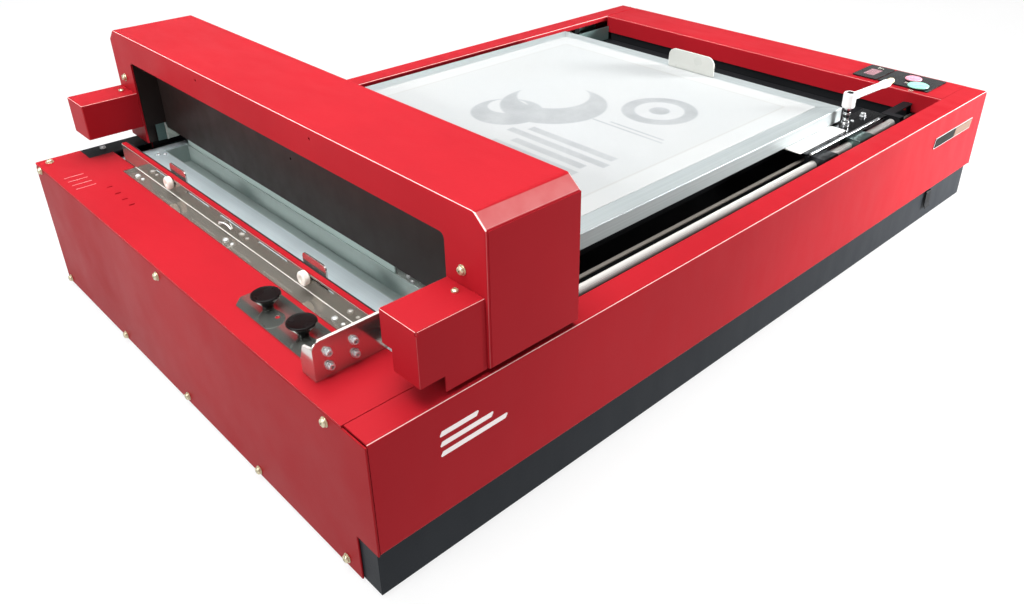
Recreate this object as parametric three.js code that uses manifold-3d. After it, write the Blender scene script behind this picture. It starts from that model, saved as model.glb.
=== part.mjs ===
// Tabletop printing press: a desk-sized screen maker. A thermal head hangs in a gantry that
// travels on two rods over a framed screen mesh. Millimetres, +Z up, +X along the long side,
// the operator stands at -Y. The origin is on the floor, under the middle of the housing.
import * as THREE from 'three';
import { mergeVertices } from 'three/addons/utils/BufferGeometryUtils.js';
import Module from 'manifold-3d';

const wasm = await Module();
wasm.setup();

// ---- driving dimensions ------------------------------------------------------------------

const BENCH = 174;                    // height of the housing's top surface
const HALF_LENGTH = 560;
const HALF_DEPTH = 361.5;
const SHEET = 2;                      // folded sheet metal
const GAP = 0.3;                      // running gap between neighbours

const COVER_LOW = 55.8;               // lower edge of the red side covers
const PLINTH = { inset: 5.8, low: 4, wall: 2 };
const FOOT = { radius: 18, x: 500, y: 310 };
const DECK_TOP = 129;

const FRONT_FLANGE = 31.5;            // width of the front cover's top flange
const REAR_FLANGE = 35;
const REAR_LIP = 8.5;                 // the rear flange turns down by this at its inner edge
const LEFT_COVER_RIGHT = -475;        // right-hand edge of the left top cover
const BOX_LEFT = 475;                 // left-hand face of the right top cover
const BOX_DROP = 30;
const GUIDE_SLOT = { x0: -505, x1: -425, depth: 34 };

const ROD = { radius: 6, front: -301, rear: 338, z: BENCH - 20, x0: -548, x1: 398 };
const PULLEY = { radius: 9.2, left: -535, right: 500, y: -284.5, z: BENCH - 29, width: 6 };
const BELT = { inner: 9.5, thick: 1.4, width: 5 };

const GANTRY = { x0: -435.5, x1: -330.7, low: BENCH + 5.8, top: BENCH + 146.5 };
const GANTRY_CHAMFER = { y: 14.8, z: 12.7 };
const PORTAL = { halfWidth: 309.5, top: BENCH + 113, corner: 4 };
const LEG_BOX = { x0: -504, outer: 358, inner: 310, top: BENCH + 73.3 };

const CHANNEL = { x0: -490.2, wall: -474, y0: -262, y1: 292, baseEnd: 258.7, height: 22, lip: 8 };
const SLOT = { low: 15.5, high: 19, length: 58, pitch: 82, first: -161.3, count: 5 };
const STOP = { frontY: -145, rearY: 148, width: 41, x: -465.6, thick: 1.6 };
const SLOT_MID = BENCH + (SLOT.low + SLOT.high) / 2;
const THUMB = { radius: 7.3, thick: 6.5, shaft: 1.5, back: -475 };

const SCREEN = { x0: -302, x1: 297, halfDepth: 267, low: BENCH - 2.6, top: BENCH + 17.4, bar: 34 };
const MESH_BORDER = 26;

const CLAMP = { x0: 165, x1: 372, y0: -299, y1: -262, low: BENCH - 8.3, top: BENCH - 5 };
const INLET = { x0: 424, x1: 482, z0: 84, z1: 114, wall: 1.5, flange: 3 };
const LEVER = { x: 288, y: -279, low: BENCH + 23, top: BENCH + 44, reach: 92, swing: -8, rise: 4 };

const RED = 0xd2272c;
const BLACK = 0x1b1c1e;
const DARK_STEEL = 0x2b2d30;
const STEEL = 0xb9bcc0;
const ALUMINIUM = 0xc3cbd0;

// ---- helpers -----------------------------------------------------------------------------

const press = new THREE.Group();
press.name = 'tabletop_printing_press';

function add(name, geometry, colour, roughness = 0.5, metalness = 0) {
  const material = new THREE.MeshStandardMaterial({ color: colour, roughness, metalness });
  material.name = name;
  const mesh = new THREE.Mesh(geometry, material);
  mesh.name = name;
  press.add(mesh);
  return mesh;
}

function block([x0, x1], [y0, y1], [z0, z1]) {
  const geometry = new THREE.BoxGeometry(x1 - x0, y1 - y0, z1 - z0);
  geometry.translate((x0 + x1) / 2, (y0 + y1) / 2, (z0 + z1) / 2);
  return geometry;
}

function outline(points, holes = []) {
  const shape = new THREE.Shape(points.map(([u, v]) => new THREE.Vector2(u, v)));
  shape.holes.push(...holes);
  return shape;
}

// A rectangle in the shape's own plane, each corner rounded by its radius: low-left first,
// then anticlockwise.
function roundedRect([u0, u1], [v0, v1], radii) {
  const [lowLeft, lowRight, highRight, highLeft] = radii;
  const shape = new THREE.Shape();
  shape.moveTo(u0 + lowLeft, v0);
  shape.lineTo(u1 - lowRight, v0);
  if (lowRight > 0) shape.absarc(u1 - lowRight, v0 + lowRight, lowRight, -Math.PI / 2, 0, false);
  shape.lineTo(u1, v1 - highRight);
  if (highRight > 0) shape.absarc(u1 - highRight, v1 - highRight, highRight, 0, Math.PI / 2, false);
  shape.lineTo(u0 + highLeft, v1);
  if (highLeft > 0) shape.absarc(u0 + highLeft, v1 - highLeft, highLeft, Math.PI / 2, Math.PI, false);
  shape.lineTo(u0, v0 + lowLeft);
  if (lowLeft > 0) shape.absarc(u0 + lowLeft, v0 + lowLeft, lowLeft, Math.PI, 1.5 * Math.PI, false);
  return shape;
}

function roundHole(u, v, radius) {
  const path = new THREE.Path();
  path.absarc(u, v, radius, 0, 2 * Math.PI, true);
  return path;
}

const extrude = (shape, depth) =>
  new THREE.ExtrudeGeometry(shape, { depth, bevelEnabled: false, curveSegments: 10 });

function prismX(shape, [x0, x1]) {      // shape drawn in (y, z)
  const geometry = extrude(shape, x1 - x0);
  const turn = new THREE.Matrix4().makeBasis(
    new THREE.Vector3(0, 1, 0), new THREE.Vector3(0, 0, 1), new THREE.Vector3(1, 0, 0));
  return geometry.applyMatrix4(turn).translate(x0, 0, 0);
}

function prismY(shape, [y0, y1]) {      // shape drawn in (x, z)
  return extrude(shape, y1 - y0).rotateX(Math.PI / 2).translate(0, y1, 0);
}

function prismZ(shape, [z0, z1]) {      // shape drawn in (x, y)
  return extrude(shape, z1 - z0).translate(0, 0, z0);
}

// A turned piece about +Z from [radius, height] pairs, closed on its axis.
function turned(profile, segments = 32) {
  const points = profile.map(([r, z]) => new THREE.Vector2(r, z));
  return new THREE.LatheGeometry(points, segments).rotateX(Math.PI / 2);
}

function toManifold(geometry) {
  const plain = geometry.clone();
  plain.deleteAttribute('normal');
  plain.deleteAttribute('uv');
  const merged = mergeVertices(plain, 1e-4);
  return new wasm.Manifold(new wasm.Mesh({
    numProp: 3,
    vertProperties: new Float32Array(merged.attributes.position.array),
    triVerts: new Uint32Array(merged.index.array),
  }));
}

function toGeometry(manifold) {
  const mesh = manifold.getMesh();
  const geometry = new THREE.BufferGeometry();
  geometry.setAttribute('position', new THREE.BufferAttribute(new Float32Array(mesh.vertProperties), 3));
  geometry.setIndex(new THREE.BufferAttribute(new Uint32Array(mesh.triVerts), 1));
  geometry.computeVertexNormals();
  return geometry;
}

function join(...geometries) {
  return toGeometry(geometries.map(toManifold).reduce((sum, next) => sum.add(next)));
}

function cut(geometry, ...tools) {
  return toGeometry(tools.map(toManifold).reduce((rest, tool) => rest.subtract(tool), toManifold(geometry)));
}

// ---- base: plinth, feet, deck ------------------------------------------------------------

function buildBase() {
  const x0 = -HALF_LENGTH + SHEET + GAP;
  const x1 = HALF_LENGTH - 1.7;
  const y = HALF_DEPTH - PLINTH.inset;
  const w = PLINTH.wall;
  const top = COVER_LOW - GAP;
  const tray = cut(
    block([x0, x1], [-y, y], [PLINTH.low, top]),
    block([x0 + w, x1 - w], [-y + w, y - w], [PLINTH.low + w, top + w]));
  add('plinth', tray, 0x33373a, 0.55);
  for (const [side, x] of [['left', -FOOT.x], ['right', FOOT.x]]) {
    for (const [end, yFoot] of [['front', -FOOT.y], ['rear', FOOT.y]]) {
      const pad = turned([[0, 0], [FOOT.radius - 1, 0], [FOOT.radius, 1],
        [FOOT.radius, PLINTH.low - GAP], [0, PLINTH.low - GAP]], 24);
      add(`foot_${end}_${side}`, pad.translate(x, yFoot, 0), 0x151515, 0.9);
    }
  }
}

// The deck is one welded sheet-metal piece: floor, two rests under the screen frame, the wall
// below the control box, the rear wall of the well and the black guide plate at the rear left
// corner. The rear carriage's arm passes between the rear wall and the rear flange's lip.
const WELL_WALL_Y = [322, 324];

function buildDeck() {
  const wellWallTop = BENCH - 18.5;
  const inside = HALF_DEPTH - SHEET - 0.5;
  const sunk = DECK_TOP - 0.5;
  const restTop = SCREEN.low - GAP;
  const guideTop = BENCH - 0.1;
  const guideX = [GUIDE_SLOT.x0 + GAP, GUIDE_SLOT.x1 - GAP];
  add('deck', join(
    block([-556, 556], [-inside, inside], [DECK_TOP - SHEET, DECK_TOP]),
    block([-299, -272], [-255, 255], [sunk, restTop]),
    block([266, 293], [-230, 255], [sunk, restTop]),
    block([BOX_LEFT + 3, BOX_LEFT + 5], [-262, 318], [sunk, BENCH - SHEET - GAP]),
    block([-370, ROD.x1 - 14.5], WELL_WALL_Y, [sunk, wellWallTop]),
    block([ROD.x1 - 1.5, BOX_LEFT - 1], WELL_WALL_Y, [sunk, wellWallTop]),
    block(guideX, [HALF_DEPTH - 6, HALF_DEPTH - 4], [sunk, guideTop]),
    block(guideX, [HALF_DEPTH - GUIDE_SLOT.depth + GAP, HALF_DEPTH - 0.2],
      [guideTop - SHEET - 0.2, guideTop])), BLACK, 0.4);
}

// ---- red covers --------------------------------------------------------------------------

function buildFrontCover() {
  const y = -HALF_DEPTH;
  const lip = 16;
  const profile = outline([
    [y, COVER_LOW], [y + lip, COVER_LOW], [y + lip, COVER_LOW + SHEET], [y + SHEET, COVER_LOW + SHEET],
    [y + SHEET, BENCH - SHEET], [y + FRONT_FLANGE, BENCH - SHEET], [y + FRONT_FLANGE, BENCH], [y, BENCH]]);
  add('front_cover', prismX(profile, [-HALF_LENGTH + 2.3, HALF_LENGTH - 2.3]), RED, 0.35);
}

function buildRearCover() {
  const y = HALF_DEPTH;
  const lip = 16;
  const inner = y - REAR_FLANGE;
  const profile = outline([
    [y, COVER_LOW], [y, BENCH], [inner, BENCH], [inner, BENCH - REAR_LIP],
    [inner + SHEET, BENCH - REAR_LIP], [inner + SHEET, BENCH - SHEET], [y - SHEET, BENCH - SHEET],
    [y - SHEET, COVER_LOW + SHEET], [y - lip, COVER_LOW + SHEET], [y - lip, COVER_LOW]]);
  const sheet = prismX(profile, [-HALF_LENGTH + 2.3, HALF_LENGTH - 2.3]);
  const flangeGap = block([-HALF_LENGTH, GUIDE_SLOT.x1], [inner - 1, y - SHEET],
    [BENCH - REAR_LIP - 1, BENCH + 1]);
  const guideGap = block([-HALF_LENGTH, GUIDE_SLOT.x1], [y - SHEET - 1, y + 1],
    [BENCH - SHEET - 0.6, BENCH + 1]);
  const inletHole = block([INLET.x0 - GAP, INLET.x1 + GAP], [y - SHEET - 1, y + 1],
    [INLET.z0 - GAP, INLET.z1 + GAP]);
  add('rear_cover', cut(sheet, flangeGap, guideGap, inletHole), RED, 0.35);
}

function buildEndPanels() {
  const notch = 31.2;
  const panelTop = BENCH - SHEET - GAP;
  const left = outline([
    [-HALF_DEPTH + notch, PLINTH.low], [HALF_DEPTH, PLINTH.low], [HALF_DEPTH, panelTop - 4],
    [HALF_DEPTH - 4, panelTop], [-HALF_DEPTH, panelTop], [-HALF_DEPTH, COVER_LOW],
    [-HALF_DEPTH + notch, COVER_LOW]]);
  add('left_end_panel', prismX(left, [-HALF_LENGTH, -HALF_LENGTH + SHEET]), RED, 0.35);
  add('right_end_panel', block([HALF_LENGTH - SHEET, HALF_LENGTH], [-HALF_DEPTH, HALF_DEPTH],
    [COVER_LOW, panelTop]), RED, 0.35);
}

const ADJUST = { x: -517.4, y: [-144, -206], stem: 3.4, hole: 3.8 };

function buildLeftTopCover() {
  const front = -HALF_DEPTH + FRONT_FLANGE + 0.8;
  const rear = HALF_DEPTH - GUIDE_SLOT.depth;
  const stripEdge = CHANNEL.x0 - 0.6;
  const plan = outline([
    [-HALF_LENGTH, front], [LEFT_COVER_RIGHT, front], [LEFT_COVER_RIGHT, CHANNEL.y0 - GAP],
    [stripEdge, CHANNEL.y0 - GAP], [stripEdge, CHANNEL.baseEnd + 0.6],
    [LEFT_COVER_RIGHT, CHANNEL.baseEnd + 0.6], [LEFT_COVER_RIGHT, rear], [GUIDE_SLOT.x0, rear],
    [GUIDE_SLOT.x0, HALF_DEPTH], [-HALF_LENGTH, HALF_DEPTH]],
  ADJUST.y.map((y) => roundHole(ADJUST.x, y, ADJUST.hole)));
  const flange = block([-HALF_LENGTH + 2.4, -HALF_LENGTH + 4.2], [front, HALF_DEPTH - 4],
    [BENCH - 25, BENCH - 1]);
  add('left_top_cover', join(prismZ(plan, [BENCH - SHEET, BENCH]), flange), RED, 0.35);
}

function buildRightTopCover() {
  const low = BENCH - BOX_DROP;
  const profile = outline([
    [BOX_LEFT, low], [BOX_LEFT + SHEET, low], [BOX_LEFT + SHEET, BENCH - SHEET],
    [HALF_LENGTH, BENCH - SHEET], [HALF_LENGTH, BENCH], [BOX_LEFT, BENCH]]);
  const y0 = -HALF_DEPTH + FRONT_FLANGE + GAP;
  const y1 = HALF_DEPTH - REAR_FLANGE - GAP;
  const bores = BUTTONS.map(({ x, y }) => stem(x, y, BUTTON.stem + 0.5, [BENCH - 5, BENCH + 5]));
  const beltWindow = block([BOX_LEFT - 1, BOX_LEFT + 3], [PULLEY.y - 8, PULLEY.y + 8], [low - 1, BENCH - 14]);
  add('right_top_cover', cut(prismY(profile, [y0, y1]), beltWindow, ...bores), RED, 0.35);
}

// ---- control box: display, panel, buttons -------------------------------------------------

const BUTTON = { stem: 4, travel: 1, capLow: 3.4, capHigh: 5.8, stemLow: -10 };
const BUTTONS = [
  { name: 'start_button', x: 497, y: -283, radius: 15.5, colour: 0x8ccbb2 },
  { name: 'stop_button', x: 523, y: -263.3, radius: 12.3, colour: 0xe39aa6 },
];

function stem(x, y, radius, [z0, z1]) {
  return turned([[0, z0], [radius, z0], [radius, z1], [0, z1]], 24).translate(x, y, 0);
}

function buildControls() {
  const panelTop = BENCH + 2;
  const panel = prismZ(outline([[486, -303], [551, -303], [551, -223], [486, -223]],
    BUTTONS.map(({ x, y }) => roundHole(x, y, BUTTON.stem + 0.5))), [BENCH + GAP, panelTop]);
  add('button_panel', panel, 0x141518, 0.25);
  const bezel = cut(
    block([486, 551], [-221, -181], [BENCH + GAP, panelTop]),
    block([499, 537], [-211, -189], [BENCH + 1.2, panelTop + 1]));
  add('display_bezel', bezel, 0x141518, 0.25);
  for (const { name, x, y, radius, colour } of BUTTONS) {
    const cap = turned([
      [0, BENCH + BUTTON.stemLow], [BUTTON.stem, BENCH + BUTTON.stemLow],
      [BUTTON.stem, BENCH + BUTTON.capLow], [radius, BENCH + BUTTON.capLow],
      [radius, BENCH + BUTTON.capHigh - 1.2], [radius - 1.2, BENCH + BUTTON.capHigh],
      [0, BENCH + BUTTON.capHigh]], 32);
    add(name, cap.translate(x, y, 0), colour, 0.35);
  }
}

// ---- travel: rods, mounts, belt drive ------------------------------------------------------

const alongX = (geometry) => geometry.rotateY(Math.PI / 2);

function rodBore(x0, x1, y) {
  const radius = ROD.radius + 0.4;
  return alongX(turned([[0, x0], [radius, x0], [radius, x1], [0, x1]], 24)).translate(0, y, ROD.z);
}

// The idler pulley turns on an ear of the left-hand rod mount.
const idlerBack = PULLEY.y + PULLEY.width / 2;

function idlerEar() {
  return block([PULLEY.left - 8, PULLEY.left + 9], [idlerBack + 0.6, idlerBack + 12],
    [DECK_TOP + GAP, PULLEY.z + 9]);
}

function idlerHole() {
  return turned([[0, 0], [3.4, 0], [3.4, 5], [0, 5]], 24).rotateX(-Math.PI / 2)
    .translate(PULLEY.left, idlerBack, PULLEY.z);
}

function buildRods() {
  for (const [end, y] of [['front', ROD.front], ['rear', ROD.rear]]) {
    const rod = alongX(turned([[0, ROD.x0], [ROD.radius - 1, ROD.x0], [ROD.radius, ROD.x0 + 1],
      [ROD.radius, ROD.x1 - 1], [ROD.radius - 1, ROD.x1], [0, ROD.x1]], 24));
    add(`guide_rod_${end}`, rod.translate(0, y, ROD.z), STEEL, 0.12, 1);
  }
  for (const [side, x0] of [['left', ROD.x0 + 2], ['right', ROD.x1 - 14]]) {
    const x = [x0, x0 + 12];
    const half = 12;
    const top = BENCH - 9;
    const posts = [ROD.front, ROD.rear].map((y) => block(x, [y - half, y + half], [DECK_TOP + GAP, top]));
    const tie = block(x, [ROD.front, ROD.rear], [DECK_TOP + GAP, DECK_TOP + 5]);
    const bores = [ROD.front, ROD.rear].map((y) => rodBore(x0 - 1, x0 + 13, y));
    const ears = side === 'left' ? [idlerEar()] : [];
    const holes = side === 'left' ? [...bores, idlerHole()] : bores;
    add(`rod_mount_${side}`, cut(join(tie, ...posts, ...ears), ...holes), DARK_STEEL, 0.5, 0.4);
  }
}

function buildBeltDrive() {
  const ring = (radius) => {
    const shape = new THREE.Shape();
    shape.absarc(PULLEY.right, PULLEY.z, radius, -Math.PI / 2, Math.PI / 2, false);
    shape.absarc(PULLEY.left, PULLEY.z, radius, Math.PI / 2, 1.5 * Math.PI, false);
    shape.closePath();
    return shape;
  };
  const belt = ring(BELT.inner + BELT.thick);
  belt.holes.push(new THREE.Path(ring(BELT.inner).getPoints(10).reverse()));
  const y = [PULLEY.y - BELT.width / 2, PULLEY.y + BELT.width / 2];
  add('drive_belt', prismY(belt, y), 0x5a5149, 0.8);
  const half = PULLEY.width / 2;
  const rim = PULLEY.radius;
  const wheel = (shaft) => turned([[0, -half], [rim, -half], [rim, half], [3, half],
    [3, half + shaft], [0, half + shaft]], 32).rotateX(-Math.PI / 2);
  add('drive_pulley', wheel(6).translate(PULLEY.right, PULLEY.y, PULLEY.z), ALUMINIUM, 0.35, 1);
  add('idler_pulley', wheel(3).translate(PULLEY.left, PULLEY.y, PULLEY.z), ALUMINIUM, 0.35, 1);
  const motorHalf = 15.5;
  const motorFront = PULLEY.y + half + 2;
  const body = block([PULLEY.right - motorHalf, PULLEY.right + motorHalf], [motorFront, motorFront + 46],
    [PULLEY.z - motorHalf, PULLEY.z + motorHalf]);
  const hole = turned([[0, 0], [3.6, 0], [3.6, 12], [0, 12]], 24).rotateX(-Math.PI / 2)
    .translate(PULLEY.right, motorFront - 1, PULLEY.z);
  add('drive_motor', cut(body, hole), DARK_STEEL, 0.5, 0.5);
}

// ---- gantry --------------------------------------------------------------------------------

function gantryOutline(inset, low) {
  const y = HALF_DEPTH - inset;
  const top = GANTRY.top - inset;
  const shoulder = GANTRY.top - GANTRY_CHAMFER.z - inset * 0.4;
  const ridge = HALF_DEPTH - GANTRY_CHAMFER.y - inset * 0.4;
  return outline([[-y, low], [y, low], [y, shoulder], [ridge, top], [-ridge, top], [-y, shoulder]]);
}

function portal([x0, x1], top) {
  const w = PORTAL.halfWidth;
  const c = PORTAL.corner;
  return prismX(outline([[-w, GANTRY.low - 5], [w, GANTRY.low - 5], [w, top - c], [w - c, top],
    [-w + c, top], [-w, top - c]]), [x0, x1]);
}

function buildGantry() {
  const { x0, x1, low } = GANTRY;
  const shoulder = GANTRY.top - GANTRY_CHAMFER.z;
  const hood = cut(
    prismX(gantryOutline(0, low), [x0, x1]),
    prismX(gantryOutline(SHEET, low - 5), [x0 + SHEET, x1 - SHEET]),
    portal([x0 - 1, x0 + 3], PORTAL.top),
    portal([x1 - 3, x1 + 1], PORTAL.top),
    block([x0 + SHEET, x1 + 1], [-HALF_DEPTH - 1, -HALF_DEPTH + SHEET + GAP], [low - 1, shoulder]),
    block([x0 + SHEET, x1 + 1], [HALF_DEPTH - SHEET - GAP, HALF_DEPTH + 1], [low - 1, shoulder]));
  add('gantry_hood', hood, RED, 0.35);
  for (const [end, y] of [['front', -HALF_DEPTH], ['rear', HALF_DEPTH - SHEET]]) {
    add(`gantry_side_${end}`, block([x0 + SHEET + GAP, x1], [y, y + SHEET], [low, shoulder - GAP]), RED, 0.35);
  }
  add('gantry_inner_panel', block([-407, -405], [-309, 309], [BENCH + 20, BENCH + 140]), 0x17120f, 0.08);
  add('gantry_beam', block([-372, -340], [-311, 280], [BENCH + 62, BENCH + 102]), ALUMINIUM, 0.4, 1);
}

// Each carriage slides on its rod. The front riser stands outside the well, between the front
// cover's flange and the rod. The rear rod lies under the rear flange, so the rear carriage
// reaches inwards below that flange's lip before it rises.
function buildCarriages() {
  const bearingX = [-425, -375];
  const bearingZ = [BENCH - 34, BENCH - 4];
  const riserTop = BENCH + 104;
  const front = join(
    block(bearingX, [-318, -288.5], bearingZ),
    block(bearingX, [-318, -312], [BENCH - 6, BENCH + 3]),
    block([bearingX[0], -339], [-318, -312], [BENCH + 1, riserTop]),
    block([-420, -390], [-289, -281], [BENCH - 17, BENCH - 6]));
  add('carriage_front', cut(front, rodBore(-430, -370, ROD.front)), DARK_STEEL, 0.45, 0.5);
  const armX = [-382, -350];
  const rear = join(
    block([bearingX[0], armX[1]], [330, 351], [BENCH - 34, BENCH - 2.5]),
    block(armX, [281, 331], [BENCH - 17, BENCH - 11]),
    block([armX[0], -339], [281, 287.5], [BENCH - 12, riserTop]));
  add('carriage_rear', cut(rear, rodBore(-430, armX[1] + 5, ROD.rear)), DARK_STEEL, 0.45, 0.5);
}

function buildHead() {
  add('head_carrier', block([-398, -352], [-250, 250], [BENCH + 30, BENCH + 50]), DARK_STEEL, 0.45, 0.5);
  const bar = outline([[-387, BENCH + 29.7], [-363, BENCH + 29.7], [-363, BENCH + 26],
    [-371, BENCH + 23], [-379, BENCH + 23], [-387, BENCH + 26]].reverse());
  add('thermal_head', prismY(bar, [-210, 210]), 0x8d8f90, 0.3, 0.3);
}

function buildLegBoxes() {
  const { x0, outer, inner, top } = LEG_BOX;
  const x1 = GANTRY.x0 - GAP;
  const step = -479;
  const t = 1.5;
  const shell = (y0, y1, low) => cut(
    block([x0, x1], [y0, y1], [low, top]),
    block([x0 + t, x1 + 1], [y0 + t, y1 - t], [low - 1, top - t]));
  const front = cut(shell(-outer, -inner, BENCH + 4.5),
    block([x0 - 1, step], [-outer - 1, -inner + 1], [BENCH, BENCH + 20]),
    block([x0 - 1, step], [-324, -inner + 1], [BENCH, BENCH + 41]));
  add('leg_box_front', front, RED, 0.35);
  add('leg_box_rear', shell(inner, outer, BENCH + 29), RED, 0.35);
}

// ---- stop channel --------------------------------------------------------------------------

function buildChannel() {
  const { x0, wall, y0, y1, baseEnd, height, lip } = CHANNEL;
  const t = 1.7;
  const low = BENCH - 1.8;
  const top = BENCH + height;
  const upright = prismY(outline([[wall, low], [wall + t, low], [wall + t, top - t], [wall + lip, top - t],
    [wall + lip, top], [wall, top]]), [y0, y1]);
  const base = block([x0, wall + t], [y0, baseEnd], [low, low + 1.5]);
  const slots = [];
  for (let i = 0; i < SLOT.count; i += 1) {
    const mid = SLOT.first + i * SLOT.pitch;
    slots.push(block([wall - 1, wall + t + 0.5], [mid - SLOT.length / 2, mid + SLOT.length / 2],
      [BENCH + SLOT.low, BENCH + SLOT.high]));
  }
  add('stop_channel', cut(join(upright, base), ...slots), 0x9a948c, 0.18, 1);
}

function buildEndPlate() {
  const x0 = -545;
  const x1 = -468;
  const y = [-271, -269.4];
  const low = BENCH + GAP;
  const face = prismY(roundedRect([x0, x1], [low, BENCH + 38], [0, 0, 2, 8]), y);
  const cheek = block([x0, x0 + 1.6], [y[1] - 0.4, -250], [low, BENCH + 33]);
  const ear = block([-486, x1], [y[1] - 0.4, -254], [BENCH + 22.4, BENCH + 24]);
  add('channel_end_plate', join(face, cheek, ear), 0xb4b0aa, 0.15, 1);
}

function buildStop(end, y) {
  const half = STOP.width / 2;
  const plate = roundedRect([y - half, y + half], [BENCH + 6, BENCH + 33], [0, 0, 5, 5]);
  plate.holes.push(roundHole(y, SLOT_MID, THUMB.shaft + GAP));
  add(`stop_tab_${end}`, prismX(plate, [STOP.x, STOP.x + STOP.thick]), 0xaaa69f, 0.2, 1);
  const knob = alongX(turned([
    [0, -3.4], [2.2, -3.4], [2.2, -THUMB.thick], [THUMB.radius - 1, -THUMB.thick],
    [THUMB.radius, -THUMB.thick + 1], [THUMB.radius, -0.6], [THUMB.radius - 0.6, 0],
    [THUMB.shaft, 0], [THUMB.shaft, 13], [0, 13]], 28));
  add(`thumb_knob_${end}`, knob.translate(THUMB.back, y, SLOT_MID), 0xe9e6df, 0.4);
}

function buildAdjusters() {
  const top = BENCH + 1.8;
  const plate = outline([[-537, -240], [-506, -240], [-497, -231], [-497, -116], [-503, -110],
    [-527, -109.5], [-537, -119.5]],
  [...ADJUST.y.map((y) => roundHole(ADJUST.x, y, ADJUST.hole)), roundHole(-519.3, -164.6, 2.4)]);
  add('adjuster_plate', prismZ(plate, [BENCH + GAP, top]), 0x8f8f90, 0.1, 1);
  ADJUST.y.forEach((y, i) => {
    const knob = turned([
      [0, BENCH - 10], [ADJUST.stem, BENCH - 10], [ADJUST.stem, top + GAP], [5.2, top + GAP],
      [5, top + 2.5], [6, top + 4], [13.4, top + 12.6], [14, top + 13.4], [14, top + 14.4],
      [13.2, top + 15.2], [0, top + 15.2]], 36);
    add(`adjuster_knob_${i + 1}`, knob.translate(ADJUST.x, y, 0), 0x121212, 0.25);
  });
}

// ---- parking trough under the gantry ---------------------------------------------------------

function buildTrough() {
  const sheetTop = BENCH - 8;
  const left = CHANNEL.wall + 2.3;
  const edge = -419;
  const end = 305;
  const wallRight = -384;
  const plan = outline([[left, -276], [edge, -276], [edge, end], [wallRight, end], [wallRight, 320],
    [left, 320]]);
  add('feed_sheet', prismZ(plan, [sheetTop - 1.4, sheetTop]), ALUMINIUM, 0.25, 1);
  const t = 1.5;
  const x = [edge + GAP, -386.3];
  const y = [-229, end - GAP];
  const low = BENCH - 33;
  const tray = cut(block(x, y, [low, sheetTop - 1]),
    block([x[0] + t, x[1] - t], [y[0] + t, y[1] - t], [low + t, sheetTop + 1]));
  add('parking_trough', tray, 0x4a5454, 0.4, 0.6);
  add('trough_back_wall', block([wallRight - 1.9, wallRight], [-160, end - GAP], [low, BENCH - 1.5]),
    0x7f918d, 0.35, 0.6);
}

// ---- screen, platen, rests --------------------------------------------------------------------

function buildScreen() {
  const { x0, x1, halfDepth, low, top, bar } = SCREEN;
  const frame = outline([[x0, -halfDepth], [x1, -halfDepth], [x1, halfDepth], [x0, halfDepth]]);
  const hole = new THREE.Path([[x0 + bar, -halfDepth + bar], [x0 + bar, halfDepth - bar],
    [x1 - bar, halfDepth - bar], [x1 - bar, -halfDepth + bar]].map(([u, v]) => new THREE.Vector2(u, v)));
  frame.holes.push(hole);
  add('screen_frame', prismZ(frame, [low, top]), ALUMINIUM, 0.35, 0.8);
  const b = MESH_BORDER;
  add('screen_mesh', block([x0 + b, x1 - b], [-halfDepth + b, halfDepth - b], [top + GAP, top + 0.7]),
    0xf2f2ef, 0.8);
  const grip = roundedRect([-67, 18], [top + GAP, BENCH + 47], [3, 3, 13, 13]);
  add('grip_tab', prismX(grip, [x1 - b + 0.6, x1 - b + 3.6]), 0xe9eeec, 0.15);
}

function buildPlaten() {
  const t = 3;
  const x = [-260, 255];
  const y = [-225, 225];
  const top = BENCH + 16.6;
  add('platen', cut(block(x, y, [DECK_TOP + GAP, top]),
    block([x[0] + t, x[1] - t], [y[0] + t, y[1] - t], [DECK_TOP - 5, top - t])), 0xe6e6e2, 0.7);
}

// ---- screen clamp -------------------------------------------------------------------------------

function buildClamp() {
  const { x0, x1, y0, y1, low, top } = CLAMP;
  const plate = cut(block([x0, x1], [y0, y1], [low, top]), stem(LEVER.x, LEVER.y, 4.4, [low - 1, top + 1]));
  add('clamp_plate', plate, 0x26282b, 0.12, 0.8);
  add('clamp_jaw', block([x0 - 6, 272], [-289, -236], [top + GAP, SCREEN.low - GAP]), 0xf0f0ee, 0.4);
  const bearings = [[172, 205], [262, 300]].map((x) => block(x, [-318, -288.8], [BENCH - 34, low - GAP]));
  const bridge = block([204, 263], [-318, -310], [BENCH - 34, BENCH - 28]);
  add('clamp_slider', cut(join(...bearings, bridge), rodBore(171, 301, ROD.front)), 0x3a4443, 0.4, 0.3);
  const post = turned([[0, low], [4, low], [4, top + GAP], [5.5, top + GAP], [5.5, BENCH + 3], [4.4, BENCH + 3],
    [4.4, BENCH + 15], [5, BENCH + 15], [5, LEVER.low - GAP], [0, LEVER.low - GAP]], 28);
  add('lever_post', post.translate(LEVER.x, LEVER.y, 0), STEEL, 0.2, 1);
}

function buildLever() {
  const { x, y, low, top, reach, swing, rise } = LEVER;
  const hub = turned([[0, low], [7.6, low], [8.6, low + 2], [8.6, top - 2], [7.8, top], [0, top]], 32);
  const armRoot = top - 7;
  const arm = alongX(turned([[0, 0], [5.6, 0], [4.9, 30], [4.8, reach - 18], [5.8, reach - 14],
    [5.8, reach - 8], [3.4, reach - 7], [3.4, reach], [0, reach]], 20));
  arm.rotateY(-Math.atan2(rise, reach)).translate(0, 0, armRoot);
  const turn = THREE.MathUtils.degToRad(swing);
  add('clamp_lever', join(hub, arm).rotateZ(turn).translate(x, y, 0), 0xe4e4e2, 0.35);
}

// ---- rear inlet, electronics ------------------------------------------------------

const ROCKER_TILT = 6;                // the switch rests pressed in at its upper end
const ROCKER_Y = HALF_DEPTH - 10;

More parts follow.
